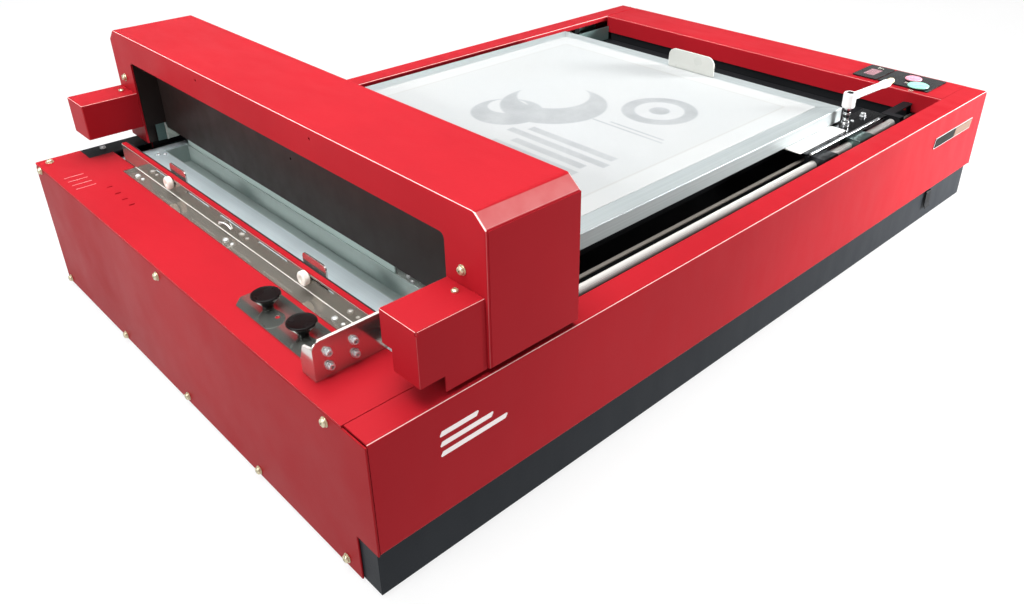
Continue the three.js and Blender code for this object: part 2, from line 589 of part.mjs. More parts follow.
function buildInlet() {
  const { x0, x1, z0, z1, wall, flange } = INLET;
  const inner = HALF_DEPTH - 26;
  const split = 458;
  const body = join(block([x0, x1], [inner, HALF_DEPTH + 0.6], [z0, z1]),
    block([x0 - flange, x1 + flange], [HALF_DEPTH + GAP, HALF_DEPTH + 1], [z0 - flange, z1 + flange]));
  const socket = block([x0 + wall + 2, split - 4], [inner + 6, HALF_DEPTH + 3], [z0 + 4, z1 - 4]);
  const rockerPit = block([split, x1 - wall - 1], [inner + 10, HALF_DEPTH + 3], [z0 + 3, z1 - 3]);
  add('power_inlet', cut(body, socket, rockerPit), 0x151515, 0.45);
  const mid = (z0 + z1) / 2;
  const face = 9;
  const rocker = prismX(outline([[-3, -6], [face - 2.6, -10], [face, -9.6], [face - 1.4, 0], [face, 9.6],
    [face - 2.6, 10], [-3, 6]]), [split + 1, x1 - wall - 2]);
  rocker.rotateX(-THREE.MathUtils.degToRad(ROCKER_TILT)).translate(0, ROCKER_Y, mid);
  add('power_rocker', rocker, 0x1d1d1f, 0.35);
}

function buildElectronics() {
  const floor = PLINTH.low + PLINTH.wall + GAP;
  add('power_supply', block([300, 460], [80, 250], [floor, floor + 42]), 0xa8abad, 0.4, 0.8);
  const board = join(
    block([300, 480], [-220, -60], [floor + 6, floor + 8]),
    block([320, 350], [-200, -170], [floor + 7.5, floor + 14]),
    block([400, 460], [-120, -80], [floor + 7.5, floor + 20]),
    block([306, 312], [-214, -208], [floor, floor + 7]),
    block([468, 474], [-72, -66], [floor, floor + 7]));
  add('control_board', board, 0x1f5a3a, 0.5);
}

buildBase();
buildDeck();
buildFrontCover();
buildRearCover();
buildEndPanels();
buildLeftTopCover();
buildRightTopCover();
buildControls();
buildRods();
buildBeltDrive();
buildGantry();
buildCarriages();
buildHead();
buildLegBoxes();
buildChannel();
buildEndPlate();
buildStop('front', STOP.frontY);
buildStop('rear', STOP.rearY);
buildAdjusters();
buildTrough();
buildScreen();
buildPlaten();
buildClamp();
buildLever();
buildInlet();
buildElectronics();

export default press;
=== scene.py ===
"""Looks of the tabletop printing press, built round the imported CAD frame.

Lengths are millimetres unless a name says otherwise; MM turns them into metres. The machine lies
along X: the gantry parks at low X, the controls sit at high X, and the front is at low Y.
"""
import math

import bmesh
import bpy
from mathutils import Matrix, Vector


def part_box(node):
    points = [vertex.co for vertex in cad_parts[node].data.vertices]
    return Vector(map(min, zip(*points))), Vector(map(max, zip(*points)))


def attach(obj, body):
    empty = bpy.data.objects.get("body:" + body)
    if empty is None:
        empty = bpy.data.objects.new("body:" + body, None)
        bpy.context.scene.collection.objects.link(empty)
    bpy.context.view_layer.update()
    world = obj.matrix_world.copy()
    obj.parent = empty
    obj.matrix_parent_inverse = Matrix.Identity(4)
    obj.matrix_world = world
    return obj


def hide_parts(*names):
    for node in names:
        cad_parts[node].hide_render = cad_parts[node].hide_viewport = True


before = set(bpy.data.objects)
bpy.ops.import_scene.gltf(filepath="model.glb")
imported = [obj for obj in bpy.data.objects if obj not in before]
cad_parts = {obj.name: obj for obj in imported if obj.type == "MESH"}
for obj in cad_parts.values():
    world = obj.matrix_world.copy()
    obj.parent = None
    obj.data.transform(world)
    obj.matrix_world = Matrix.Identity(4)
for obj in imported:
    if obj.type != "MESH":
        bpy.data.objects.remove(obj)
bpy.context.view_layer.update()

MM = 0.001


def box(node):
    """Lowest and highest corner of a CAD node."""
    lo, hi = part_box(node)
    return lo / MM, hi / MM


def spans(node):
    """Extent of a CAD node along X, Y and Z."""
    lo, hi = box(node)
    return (lo.x, hi.x), (lo.y, hi.y), (lo.z, hi.z)


def middle(node):
    return tuple((low + high) / 2 for low, high in spans(node))


def add_object(name, data):
    made = bpy.data.objects.new(name, data)
    bpy.context.scene.collection.objects.link(made)
    return made


TOP = box("left_top_cover")[1].z           # top face of the housing
LEFT_X = box("left_end_panel")[0].x        # outer face of the left end
RIGHT_X = box("right_end_panel")[1].x
HOOD = box("gantry_hood")
SHEET = 2                                  # housing sheet metal
FOLD = 3.0                                 # outer radius of its bends
ADJUSTER_X, ADJUSTER_YS = -517.4, (-144, -206)


def above(low, high):
    """Span between two heights over the housing's top face."""
    return TOP + low, TOP + high


# ---- camera, light and floor

def make_camera():
    """The photo's view: lens, place and turn solved from the housing's straight edges, in metres."""
    data = bpy.data.cameras.new("view")
    data.sensor_width = 36
    data.lens = 31.09
    data.shift_x = -0.01796
    data.shift_y = -0.0514
    data.clip_start, data.clip_end = 0.01, 50
    camera = add_object("view", data)
    turn = Vector((1.9649, -0.7916, 0.4561))
    world_to_view = Matrix.Rotation(turn.length, 3, turn.normalized())
    camera.matrix_world = (world_to_view.transposed() @ Matrix.Diagonal((1, -1, -1))).to_4x4()
    camera.location = (-0.81442, -0.80779, 0.62347)
    bpy.context.scene.camera = camera


LIGHTS = (                                 # name, place, aim and size in metres, watts, spread in degrees
    ("key", (-0.3, 0.25, 2.2), (0, 0.05, 0.1), (2.6, 1.8), 118, 180),
    ("side", (1.4, -1.25, 0.45), (0.67, -0.36, 0.12), (0.6, 0.5), 9.5, 56),
    ("left", (-2.2, 0.1, 1.3), (-0.43, 0, 0.34), (1.3, 0.3), 2.5, 38),
)


def make_stage():
    """Pale floor that runs into a low round backdrop, and three soft lights."""
    world = bpy.data.worlds.new("studio")
    bpy.context.scene.world = world
    world.use_nodes = True
    background = world.node_tree.nodes["Background"]
    background.inputs["Color"].default_value = (0.93, 0.96, 1.0, 1)
    background.inputs["Strength"].default_value = 0.04
    for name, place, aim, size, watts, spread in LIGHTS:
        data = bpy.data.lights.new(name, "AREA")
        data.shape = "RECTANGLE"
        data.size, data.size_y = size
        data.energy = watts
        data.spread = math.radians(spread)
        light = add_object(name, data)
        light.location = place
        light.rotation_euler = (Vector(aim) - Vector(place)).to_track_quat("-Z", "Y").to_euler()
    reach, rise, sides = 9, 3, 48          # reach and rise in metres
    angles = [math.tau * k / sides for k in range(sides)]
    verts = [(reach * math.cos(a), reach * math.sin(a), z) for z in (0, rise) for a in angles]
    wall = [((k + 1) % sides, k, sides + k, sides + (k + 1) % sides) for k in range(sides)]
    for name, faces, albedo, glow in (("floor", [tuple(range(sides))], 0.13, 0.84),
                                      ("backdrop", wall, 0.30, 0.60)):
        mesh = bpy.data.meshes.new(name)
        mesh.from_pydata(verts, [], faces)
        mat, g = new_material("studio_" + name)
        g.put("Base Color", (albedo, albedo, albedo, 1))
        g.put("Roughness", 0.9)
        g.put("Emission Color", (1, 1, 1, 1))
        g.put("Emission Strength", glow)
        mesh.materials.append(mat)
        add_object(name, mesh)
    bpy.context.scene.view_settings.view_transform = "Standard"


# ---- materials

def new_material(name):
    mat = bpy.data.materials.new(name)
    mat.use_nodes = True
    return mat, Graph(mat.node_tree)


def rgba(colour):
    """sRGB hex text to linear RGBA."""
    parts = [int(colour[i:i + 2], 16) / 255 for i in (0, 2, 4)]
    linear = [c / 12.92 if c <= 0.04045 else ((c + 0.055) / 1.055) ** 2.4 for c in parts]
    return (*linear, 1)


def scaled(colour, factor):
    return (*(min(1, c * factor) for c in colour[:3]), 1)


class Graph:
    """Short calls for building a material's node tree. Coordinates in it are metres."""

    def __init__(self, tree):
        self.tree = tree
        self.shader = tree.nodes["Principled BSDF"]

    def put(self, name, value):
        """Set or link an input of the material's shader."""
        self.feed(self.shader.inputs[name], value)

    def add(self, kind, inputs=None, **settings):
        node = self.tree.nodes.new("ShaderNode" + kind)
        for key, value in settings.items():
            setattr(node, key, value)
        for key, value in (inputs or {}).items():
            self.feed(node.inputs[key], value)
        return node

    def feed(self, socket, value):
        if isinstance(value, bpy.types.NodeSocket):
            self.tree.links.new(value, socket)
        else:
            socket.default_value = value

    def place(self, scale=(1, 1, 1)):
        """Object coordinates, stretched by scale."""
        coords = self.add("TexCoord").outputs["Object"]
        return self.add("Mapping", {"Vector": coords, "Scale": scale}).outputs[0]

    def axes(self):
        return self.add("SeparateXYZ", {0: self.add("TexCoord").outputs["Object"]}).outputs

    def noise(self, vector, scale, detail=3, roughness=0.5):
        return self.add("TexNoise", {"Vector": vector, "Scale": scale, "Detail": detail,
                                     "Roughness": roughness}).outputs["Fac"]

    def spread(self, value, low, high, out_low, out_high):
        """Map low..high to out_low..out_high and clamp."""
        return self.add("MapRange", {"Value": value, "From Min": low, "From Max": high,
                                     "To Min": out_low, "To Max": out_high}).outputs[0]

    def math(self, operation, a, b=0.0, clamp=False):
        return self.add("Math", {0: a, 1: b}, operation=operation, use_clamp=clamp).outputs[0]

    def times(self, a, b, clamp=False):
        return self.math("MULTIPLY", a, b, clamp)

    def either(self, a, b):
        return self.math("MAXIMUM", a, b)

    def without(self, a, b):
        return self.times(a, self.math("SUBTRACT", 1.0, b))

    def apart(self, a, b):
        """Distance between two numbers."""
        return self.math("ABSOLUTE", self.math("SUBTRACT", a, b))

    def mix(self, share, a, b):
        node = self.add("Mix", data_type="RGBA")
        self.feed(node.inputs["Factor"], share)
        self.feed(node.inputs["A"], a)
        self.feed(node.inputs["B"], b)
        return node.outputs["Result"]

    def bump(self, height, strength, distance, normal=None):
        inputs = {"Height": height, "Strength": strength, "Distance": distance}
        if normal is not None:
            inputs["Normal"] = normal
        return self.add("Bump", inputs).outputs[0]

    def facing(self):
        """Sizes of the normal's parts, and the largest: 1 on a square face, about 0.7 on a bend."""
        normal = self.add("NewGeometry").outputs["Normal"]
        sizes = self.add("VectorMath", {0: normal}, operation="ABSOLUTE").outputs[0]
        parts = self.add("SeparateXYZ", {0: sizes}).outputs
        return parts, self.either(self.either(parts[0], parts[1]), parts[2])


def paint(name, colour, roughness=0.42, peel=0.10, highlight_share=0.9, slopes=1.0):
    """Powder-coated sheet metal: orange peel, fine grain, handling marks, and a painted highlight that turns
    the bends paler.

    slopes is the share of that painted highlight on bends that run along X.
    """
    mat, g = new_material(name)
    base = rgba(colour)
    where = g.place()
    cloud = g.spread(g.noise(where, 5, 4), 0.3, 0.7, 0, 1)
    tone = g.mix(cloud, scaled(base, 0.93), scaled(base, 1.05))
    # painted highlight: bends get a pale colour, full where they face up and weak where they stand upright
    parts, squareness = g.facing()
    edge = g.math("POWER", g.spread(squareness, 0.82, 0.73, 0, 1), 1.3)
    edge = g.times(edge, g.spread(parts[2], 0.3, 0.5, 0.12, 1))
    edge = g.times(edge, g.spread(parts[0], 0.3, 0.5, slopes, 1))
    patch = g.spread(g.noise(where, 60, 3), 0.35, 0.6, 0.8, 1)
    # strength of the painted highlight, broken up by the patch noise
    painted_highlight = g.times(g.times(edge, patch), highlight_share, clamp=True)
    pale = rgba("FFE9E4") if base[0] > 0.3 else scaled(base, 2.5)
    g.put("Base Color", g.mix(painted_highlight, tone, pale))
    smear = g.noise(g.place((3, 1, 1)), 14, 4)
    g.put("Roughness", g.spread(smear, 0.3, 0.7, roughness - 0.05, roughness + 0.07))
    orange = g.bump(g.noise(where, 420, 2), peel, 0.0006)
    grain = g.bump(g.noise(where, 2600, 2), peel * 0.8, 0.00012, orange)
    g.put("Normal", grain)
    g.put("IOR", 1.13)
    return mat


POLISHING = {"X": (3, 900, 900), "Y": (900, 3, 900), None: (700, 700, 700)}


def metal(name, colour, roughness, brush, strength=0.12, vary=0.08, grime=0.0, peak=0.06, bare=1.0, rim=0.0):
    """Bare or plated metal.

    brush is the axis that the polishing lines run along, bare its metallic share, and rim the strength
    of a painted highlight that whitens the bends, where they would catch the light.
    """
    mat, g = new_material(name)
    base = rgba(colour)
    scratch = g.noise(g.place(POLISHING[brush]), 1, 3, 0.6)
    cloud = g.noise(g.place(), 9, 4)
    tone = g.mix(cloud, scaled(base, 1 - vary), scaled(base, 1 + vary))
    tone = g.mix(g.spread(scratch, 0.35, 0.7, 0, 0.35), tone, scaled(base, 0.8))
    if grime:
        spots = g.spread(g.noise(g.place(), 40, 5, 0.7), 0.5, 0.72, 0, grime)
        tone = g.mix(spots, tone, scaled(base, 0.35))
    g.put("Metallic", bare)
    if rim:
        # painted highlight: near-white, less metallic colour on the bends
        bend = g.times(g.spread(g.facing()[1], 0.90, 0.75, 0, 1), rim)
        tone = g.mix(bend, tone, rgba("FBFAF6"))
        g.put("Metallic", g.spread(bend, 0, 1, bare, 0.1))
    g.put("Base Color", tone)
    worn = g.math("ADD", g.spread(scratch, 0.3, 0.7, roughness - peak, roughness + peak),
                  g.spread(cloud, 0.3, 0.7, -0.03, 0.04))
    g.put("Roughness", worn)
    g.put("Normal", g.bump(scratch, strength, 0.0002))
    return mat


def plastic(name, colour, roughness, grain, grain_scale, vary, coat=0.0, ior=1.45):
    """Moulded plastic: fine spark-eroded grain, slight tone drift, finger-polished patches."""
    mat, g = new_material(name)
    base = rgba(colour)
    where = g.place()
    tone = g.mix(g.noise(where, 30, 3), scaled(base, 1 - vary), scaled(base, 1 + vary))
    g.put("Base Color", tone)
    polished = g.spread(g.noise(where, 45, 4), 0.3, 0.7, roughness - 0.05, roughness + 0.08)
    g.put("Roughness", polished)
    g.put("Normal", g.bump(g.noise(where, grain_scale, 2), grain, 0.0003))
    g.put("IOR", ior)
    g.put("Coat Weight", coat)
    g.put("Coat Roughness", 0.08)
    return mat


def screen_cloth():
    """Woven polyester mesh with a pale abstract print and a brighter glued margin."""
    mat, g = new_material("screen_cloth")
    x, y, _ = g.axes()

    def disc(cx, cy, radius, soft=0.0015):
        dx, dy = g.math("SUBTRACT", x, cx), g.math("SUBTRACT", y, cy)
        reach = g.math("SQRT", g.math("ADD", g.times(dx, dx), g.times(dy, dy)))
        return g.spread(reach, radius - soft, radius + soft, 1, 0)

    def window(cx, cy, half_x, half_y, soft=0.0012):
        across = g.spread(g.apart(x, cx), half_x - soft, half_x + soft, 1, 0)
        along = g.spread(g.apart(y, cy), half_y - soft, half_y + soft, 1, 0)
        return g.times(across, along)

    crescents = g.either(g.without(disc(0.02, 0.02, 0.075), disc(0.045, 0.045, 0.052)),
                         g.without(disc(-0.045, 0.045, 0.05), disc(-0.03, 0.06, 0.028)))
    ring = g.without(disc(0.105, -0.10, 0.052), disc(0.105, -0.10, 0.034))
    shapes = g.either(crescents, g.either(ring, disc(0.105, -0.10, 0.014)))
    bars = 0.0
    for row in range(5):
        bar = window(-0.148 + 0.021 * row, -0.095 + 0.006 * (row % 2), 0.0062, 0.085 - 0.012 * (row % 3))
        bars = g.either(bars, bar)
    lines = g.either(window(0.018, -0.115, 0.0016, 0.06), window(0.027, -0.125, 0.0016, 0.045))
    patchy = g.spread(g.noise(g.place(), 22, 4, 0.6), 0.3, 0.7, 0.55, 1)
    ink = g.times(g.either(shapes, g.either(g.times(bars, 0.8), lines)), patchy)
    warp, weft = (g.add("TexWave", {"Vector": g.place(), "Scale": 620, "Distortion": 0.0},
                        wave_type="BANDS", bands_direction=way).outputs["Fac"] for way in "XY")
    threads = g.either(warp, weft)
    ground = g.mix(g.noise(g.place(), 7, 3), rgba("9CA0A1"), rgba("A3A4A3"))
    ground = g.mix(g.spread(threads, 0.2, 0.9, 0.06, 0), ground, rgba("7F8385"))
    lo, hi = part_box("screen_mesh")
    cx, cy = (lo.x + hi.x) / 2, (lo.y + hi.y) / 2
    half_x, half_y = (hi.x - lo.x) / 2, (hi.y - lo.y) / 2
    inside = window(cx, cy, half_x - 0.030, half_y - 0.030, 0.002)
    outline = g.math("SUBTRACT", inside, window(cx, cy, half_x - 0.032, half_y - 0.032, 0.001))
    ground = g.mix(g.times(inside, 0.35), ground, rgba("8F9293"))
    ground = g.mix(g.times(outline, 0.5), ground, rgba("8A877F"))
    g.put("Base Color", g.mix(g.times(ink, 0.75), ground, rgba("6E7375")))
    g.put("Roughness", g.spread(ink, 0, 1, 0.62, 0.5))
    g.put("Normal", g.bump(threads, 0.12, 0.0002))
    g.put("Sheen Weight", 0.15)
    return mat


def frame_alloy():
    """Ground aluminium tube frame: polishing lines, mitre joints at the corners, weld stain."""
    mat, g = new_material("frame_alloy")
    x, y, _ = g.axes()
    lo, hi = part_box("screen_frame")
    from_x = g.math("SUBTRACT", (hi.x - lo.x) / 2, g.apart(x, (hi.x + lo.x) / 2))
    from_y = g.math("SUBTRACT", (hi.y - lo.y) / 2, g.apart(y, (hi.y + lo.y) / 2))
    lean = g.math("SUBTRACT", from_x, from_y)      # zero on the mitre joints
    off_seam = g.math("ABSOLUTE", lean)
    seam = g.spread(off_seam, 0.0003, 0.0010, 1, 0)
    stain = g.spread(off_seam, 0.001, 0.009, 0.3, 0)
    side_bar = g.spread(lean, -0.0002, 0.0002, 1, 0)
    along_x = g.noise(g.place((4, 900, 900)), 1, 3)
    along_y = g.noise(g.place((900, 4, 900)), 1, 3)
    lines = g.math("ADD", g.times(along_y, side_bar), g.without(along_x, side_bar))
    tone = g.mix(g.noise(g.place(), 12, 4), rgba("9CA4A5"), rgba("AAB1B1"))
    tone = g.mix(g.spread(lines, 0.35, 0.7, 0, 0.3), tone, rgba("83898D"))
    tone = g.mix(g.either(g.times(seam, 0.7), stain), tone, rgba("6E7478"))
    g.put("Base Color", tone)
    g.put("Metallic", 0.35)
    g.put("Roughness", g.spread(lines, 0.3, 0.7, 0.36, 0.50))
    g.put("Normal", g.bump(g.math("SUBTRACT", lines, seam), 0.10, 0.0003))
    return mat


def make_materials():
    return {
        "red": paint("red_powder_coat", "9E1A23"),
        # hood_red and box_red are the same red with weaker painted highlights on their bends
        "hood_red": paint("hood_powder_coat", "9E1A23", slopes=0.25),
        # darker copy of the red for the left end panel: painted shade for the side that faces away from the
        # key light
        "shaded_red": paint("shaded_end_panel_powder_coat", "90161D"),
        "box_red": paint("box_powder_coat", "9E1A23", highlight_share=0.3),
        "black_paint": paint("black_powder_coat", "1C1D1F", 0.38, 0.14, 0.25),
        "plinth": paint("graphite_powder_coat", "272A2E", 0.42, 0.16, 0.30),
        "mirror": metal("polished_stainless", "BCC2BB", 0.06, "Y", 0.02, 0.04, peak=0.02, bare=0.9, rim=0.8),
        "brushed": metal("brushed_stainless", "B4AFA6", 0.07, "Y", 0.03, 0.05, peak=0.03, bare=0.78, rim=0.9),
        "end_steel": metal("polished_end_plate", "CFCCC8", 0.12, "X", 0.02, 0.04, bare=0.9, rim=1.0),
        "chrome": metal("ground_chrome", "D2D3D4", 0.08, None, 0.02, 0.03, bare=0.8),
        "rod": metal("hardened_rod", "E9E6E1", 0.24, "X", 0.02, 0.03, bare=0.35),
        "zinc_screw": metal("yellowish_zinc", "CFC7A8", 0.28, None, 0.06, 0.06, 0.2, bare=0.6),
        "steel_screw": metal("bright_screw", "D6D8D9", 0.25, None, 0.05, 0.05, 0.1, bare=0.45),
        "galvanised": metal("galvanised_sheet", "D6E4E8", 0.40, "Y", 0.06, 0.06, bare=0.3, rim=0.6),
        "trough": metal("trough_steel", "B4C2BF", 0.45, "Y", 0.10, 0.08, 0.15, bare=0.2),
        "wall": metal("zinc_wall", "C9DAD6", 0.42, "Y", 0.08, 0.06, bare=0.2, rim=0.5),
        "lining": metal("teal_zinc", "6B8481", 0.42, "X", 0.08, 0.06, bare=0.2),
        "dark_steel": metal("blackened_steel", "3A3D40", 0.40, None, 0.10, 0.10, 0.2),
        "bearing": metal("bearing_block", "6F8480", 0.38, "X", 0.08, 0.06, 0.15),
        "gunmetal": metal("dark_plate", "34363A", 0.16, "X", 0.05, 0.08),
        "alloy": metal("mill_alloy", "B9C0C4", 0.34, "Y", 0.10, 0.05),
        "plate_gold": metal("plate_gold", "7C5E4B", 0.35, "X", 0.05, 0.05, bare=0.3),
        "screen_alloy": frame_alloy(),
        "cloth": screen_cloth(),
        "acrylic_black": plastic("smoked_acrylic", "241C1A", 0.42, 0.01, 900, 0.1, ior=1.3),
        "panel_black": plastic("panel_film", "121315", 0.22, 0.04, 1800, 0.1),
        "knob": plastic("black_phenolic", "070707", 0.26, 0.02, 900, 0.1, ior=1.3),
        "thumb": plastic("thumb_nylon", "E7E3DA", 0.38, 0.06, 1200, 0.04),
        "lever": plastic("lever_enamel", "E3E4E3", 0.30, 0.03, 900, 0.03, coat=0.2),
        "tip": plastic("cream_tip", "E9D9AE", 0.35, 0.03, 900, 0.04),
        "grip": plastic("grip_acrylic", "B4B6B1", 0.30, 0.03, 700, 0.06),
        "green": plastic("green_button", "8CD0B8", 0.28, 0.03, 900, 0.04, coat=0.3),
        "pink": plastic("pink_button", "E892A6", 0.28, 0.03, 900, 0.04, coat=0.3),
        "window": plastic("display_window", "8A5560", 0.12, 0.01, 900, 0.12, coat=0.8),
        "mark": plastic("pale_marking", "D8D6C8", 0.45, 0.02, 900, 0.05),
        "stripe": plastic("white_marking", "F2E7E6", 0.38, 0.02, 900, 0.03),
        "vent": plastic("vent_print", "D98F90", 0.40, 0.02, 900, 0.05),
        "jaw": plastic("white_jaw", "EDEDEA", 0.35, 0.05, 900, 0.03),
        "rubber": plastic("foot_rubber", "161616", 0.75, 0.30, 500, 0.1),
        "belt": plastic("belt_rubber", "65605A", 0.60, 0.25, 700, 0.1),
        "board": plastic("circuit_board", "1F5A3A", 0.35, 0.10, 600, 0.15),
        "plate_green": plastic("plate_green", "060B08", 0.5, 0.03, 900, 0.08, ior=1.2),
        "void": plastic("dark_hole", "0A0606", 0.8, 0.02, 400, 0.1),
        "inlet": plastic("inlet_black", "17181A", 0.42, 0.15, 1200, 0.1),
        "base_board": plastic("platen_foam", "E4E4E0", 0.85, 0.35, 400, 0.05),
    }


# ---- mesh kit

PLANES = {                                 # where an outline is drawn, by the axis it is drawn out along
    "X": lambda u, v, w: (w, u, v),
    "Y": lambda u, v, w: (u, w, v),
    "Z": lambda u, v, w: (u, v, w),
}
TURNS = {                                  # from +Z to an axis
    "Z": Matrix.Identity(3),
    "X": Matrix.Rotation(math.pi / 2, 3, "Y"),
    "-X": Matrix.Rotation(-math.pi / 2, 3, "Y"),
    "Y": Matrix.Rotation(-math.pi / 2, 3, "X"),
    "-Y": Matrix.Rotation(math.pi / 2, 3, "X"),
}


def mesh_object(name, verts, faces):
    mesh = bpy.data.meshes.new(name)
    mesh.from_pydata([Vector(v) * MM for v in verts], [], faces)
    work = bmesh.new()
    work.from_mesh(mesh)
    bmesh.ops.recalc_face_normals(work, faces=work.faces)
    work.to_mesh(mesh)
    work.free()
    return add_object(name, mesh)


def prism(name, outline, span, axis="Z"):
    place, n = PLANES[axis], len(outline)
    verts = [place(u, v, w) for w in span for u, v in outline]
    faces = [tuple(range(n)), tuple(range(n, 2 * n))]
    faces += [(i, (i + 1) % n, n + (i + 1) % n, n + i) for i in range(n)]
    return mesh_object(name, verts, faces)


def rectangle(u, v):
    return [(u[0], v[0]), (u[1], v[0]), (u[1], v[1]), (u[0], v[1])]


def block(name, xs, ys, zs):
    return prism(name, rectangle(xs, ys), zs)


def fillet(points, radii, closed=True, steps=6):
    """Round the corners of an outline; radii is one number or one per point."""
    out, n = [], len(points)
    for i, point in enumerate(points):
        radius = radii[i] if hasattr(radii, "__len__") else radii
        if radius <= 0 or (not closed and i in (0, n - 1)):
            out.append(tuple(point))
            continue
        here = Vector(point)
        to_last = (Vector(points[i - 1]) - here).normalized()
        to_next = (Vector(points[(i + 1) % n]) - here).normalized()
        half = to_last.angle(to_next) / 2
        if abs(half - math.pi / 2) < 1e-4:
            out.append(tuple(point))
            continue
        centre = here + (to_last + to_next).normalized() * radius / math.sin(half)
        start = here + to_last * radius / math.tan(half) - centre
        end = here + to_next * radius / math.tan(half) - centre
        first = math.atan2(start.y, start.x)
        sweep = (math.atan2(end.y, end.x) - first + math.pi) % (2 * math.pi) - math.pi
        for k in range(steps + 1):
            angle = first + sweep * k / steps
            out.append((centre.x + radius * math.cos(angle), centre.y + radius * math.sin(angle)))
    return out


def rounded(u, v, radii, steps=4):
    return fillet(rectangle(u, v), radii, steps=steps)


def folded(path, thick, radius, side):
    """Outline of a folded sheet: path is one face, the sheet lies to its left (+1) or right (-1).

    radius is one number, or one for each bend.
    """
    points = [Vector(p) for p in path]
    bends = radius if hasattr(radius, "__len__") else [radius] * (len(points) - 2)
    runs = [(b - a).normalized() for a, b in zip(points, points[1:])]
    normals = [Vector((-r.y, r.x)) * side for r in runs]
    back, radii, back_radii = [], [], []
    for i, point in enumerate(points):
        if i in (0, len(points) - 1):
            back.append(point + normals[min(i, len(normals) - 1)] * thick)
            radii.append(0)
            back_radii.append(0)
            continue
        one, two = normals[i - 1], normals[i]
        back.append(point + (one + two) * thick / (1 + one.dot(two)))
        left_turn = runs[i - 1].x * runs[i].y - runs[i - 1].y * runs[i].x
        wide, tight = bends[i - 1], bends[i - 1] - thick * 0.8
        inward = left_turn * side > 0
        radii.append(wide if inward else tight)
        back_radii.append(tight if inward else wide)
    return fillet(points, radii, closed=False) + fillet(back, back_radii, closed=False)[::-1]


def lathe(name, profile, at=(0, 0, 0), axis="Z", segments=48, flutes=None):
    """Turned piece from [radius, height] pairs. flutes is (count, depth, least radius)."""
    rings, verts = [], []
    for radius, height in profile:
        if radius < 1e-6:
            rings.append([len(verts)])
            verts.append((0, 0, height))
            continue
        ring = []
        for k in range(segments):
            angle = 2 * math.pi * k / segments
            r = radius
            if flutes and radius >= flutes[2]:
                r -= flutes[1] * (0.5 + 0.5 * math.cos(flutes[0] * angle))
            ring.append(len(verts))
            verts.append((r * math.cos(angle), r * math.sin(angle), height))
        rings.append(ring)
    faces = []
    for low, high in zip(rings, rings[1:]):
        for k in range(segments):
            n = (k + 1) % segments
            quad = [low[k % len(low)], low[n % len(low)], high[n % len(high)], high[k % len(high)]]
            faces.append(tuple(dict.fromkeys(quad)))
    faces = [f for f in faces if len(f) > 2]
    faces += [tuple(ring) for ring in (rings[0], rings[-1]) if len(ring) > 1]
    return mesh_object(name, [TURNS[axis] @ Vector(v) + Vector(at) for v in verts], faces)


def cylinder(name, at, radius, length, axis="Z"):
    return lathe(name, [(radius, 0), (radius, length)], at, axis, 32)


def settle(piece):
    """Apply all modifiers."""
    graph = bpy.context.evaluated_depsgraph_get()
    mesh = bpy.data.meshes.new_from_object(piece.evaluated_get(graph))
    piece.modifiers.clear()
    piece.data = mesh
    return piece


def combine(piece, *tools, operation="DIFFERENCE"):
    for tool in tools:
        cut = piece.modifiers.new("cut", "BOOLEAN")
        cut.operation = operation
        cut.solver = "EXACT"
        cut.object = tool
        settle(piece)
        bpy.data.objects.remove(tool)
    return piece


def round_edges(piece, width, chosen):
    """Bevel the edges whose two ends satisfy chosen(a, b)."""
    work = bmesh.new()
    work.from_mesh(piece.data)
    edges = [e for e in work.edges if chosen(e.verts[0].co / MM, e.verts[1].co / MM)]
    bmesh.ops.bevel(work, geom=edges, offset=width * MM, segments=4, profile=0.5,
                    affect="EDGES", clamp_overlap=True)
    work.to_mesh(piece.data)
    work.free()


def top_edge(x, z):
    """Chooses the edge at this X whose ends are both above z."""
    return lambda a, b: max(abs(a.x - x), abs(b.x - x)) < 0.01 and min(a.z, b.z) > z


def soft_modifier(piece, width, segments):
    bevel = piece.modifiers.new("soften", "BEVEL")
    bevel.width = width * MM
    bevel.segments = segments
    bevel.limit_method = "ANGLE"
    bevel.angle_limit = math.radians(35)
    return bevel


def soften(piece, width=0.4, segments=2):
    soft_modifier(piece, width, segments).use_clamp_overlap = True
    return settle(piece)


def shade(mesh, sharp):
    mesh.polygons.foreach_set("use_smooth", [True] * len(mesh.polygons))
    mesh.set_sharp_from_angle(angle=math.radians(sharp))


def done(piece, material, body="housing", *replaced, slot=None, sharp=32):
    """Shade and paint a finished piece, mount it, and hide the CAD nodes that it stands in for."""
    piece.data.materials.clear()
    piece.data.materials.append(MATERIALS[material])
    shade(piece.data, sharp)
    level = piece.modifiers.new("level", "WEIGHTED_NORMAL")
    level.keep_sharp = True
    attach(piece, body)
    if replaced:
        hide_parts(*replaced)


def slab(name, xs, ys, zs, soft, material, body="housing", *replaced):
    """A plain sheet or block with its edges broken, finished and mounted."""
    done(soften(block(name, xs, ys, zs), soft), material, body, *replaced)


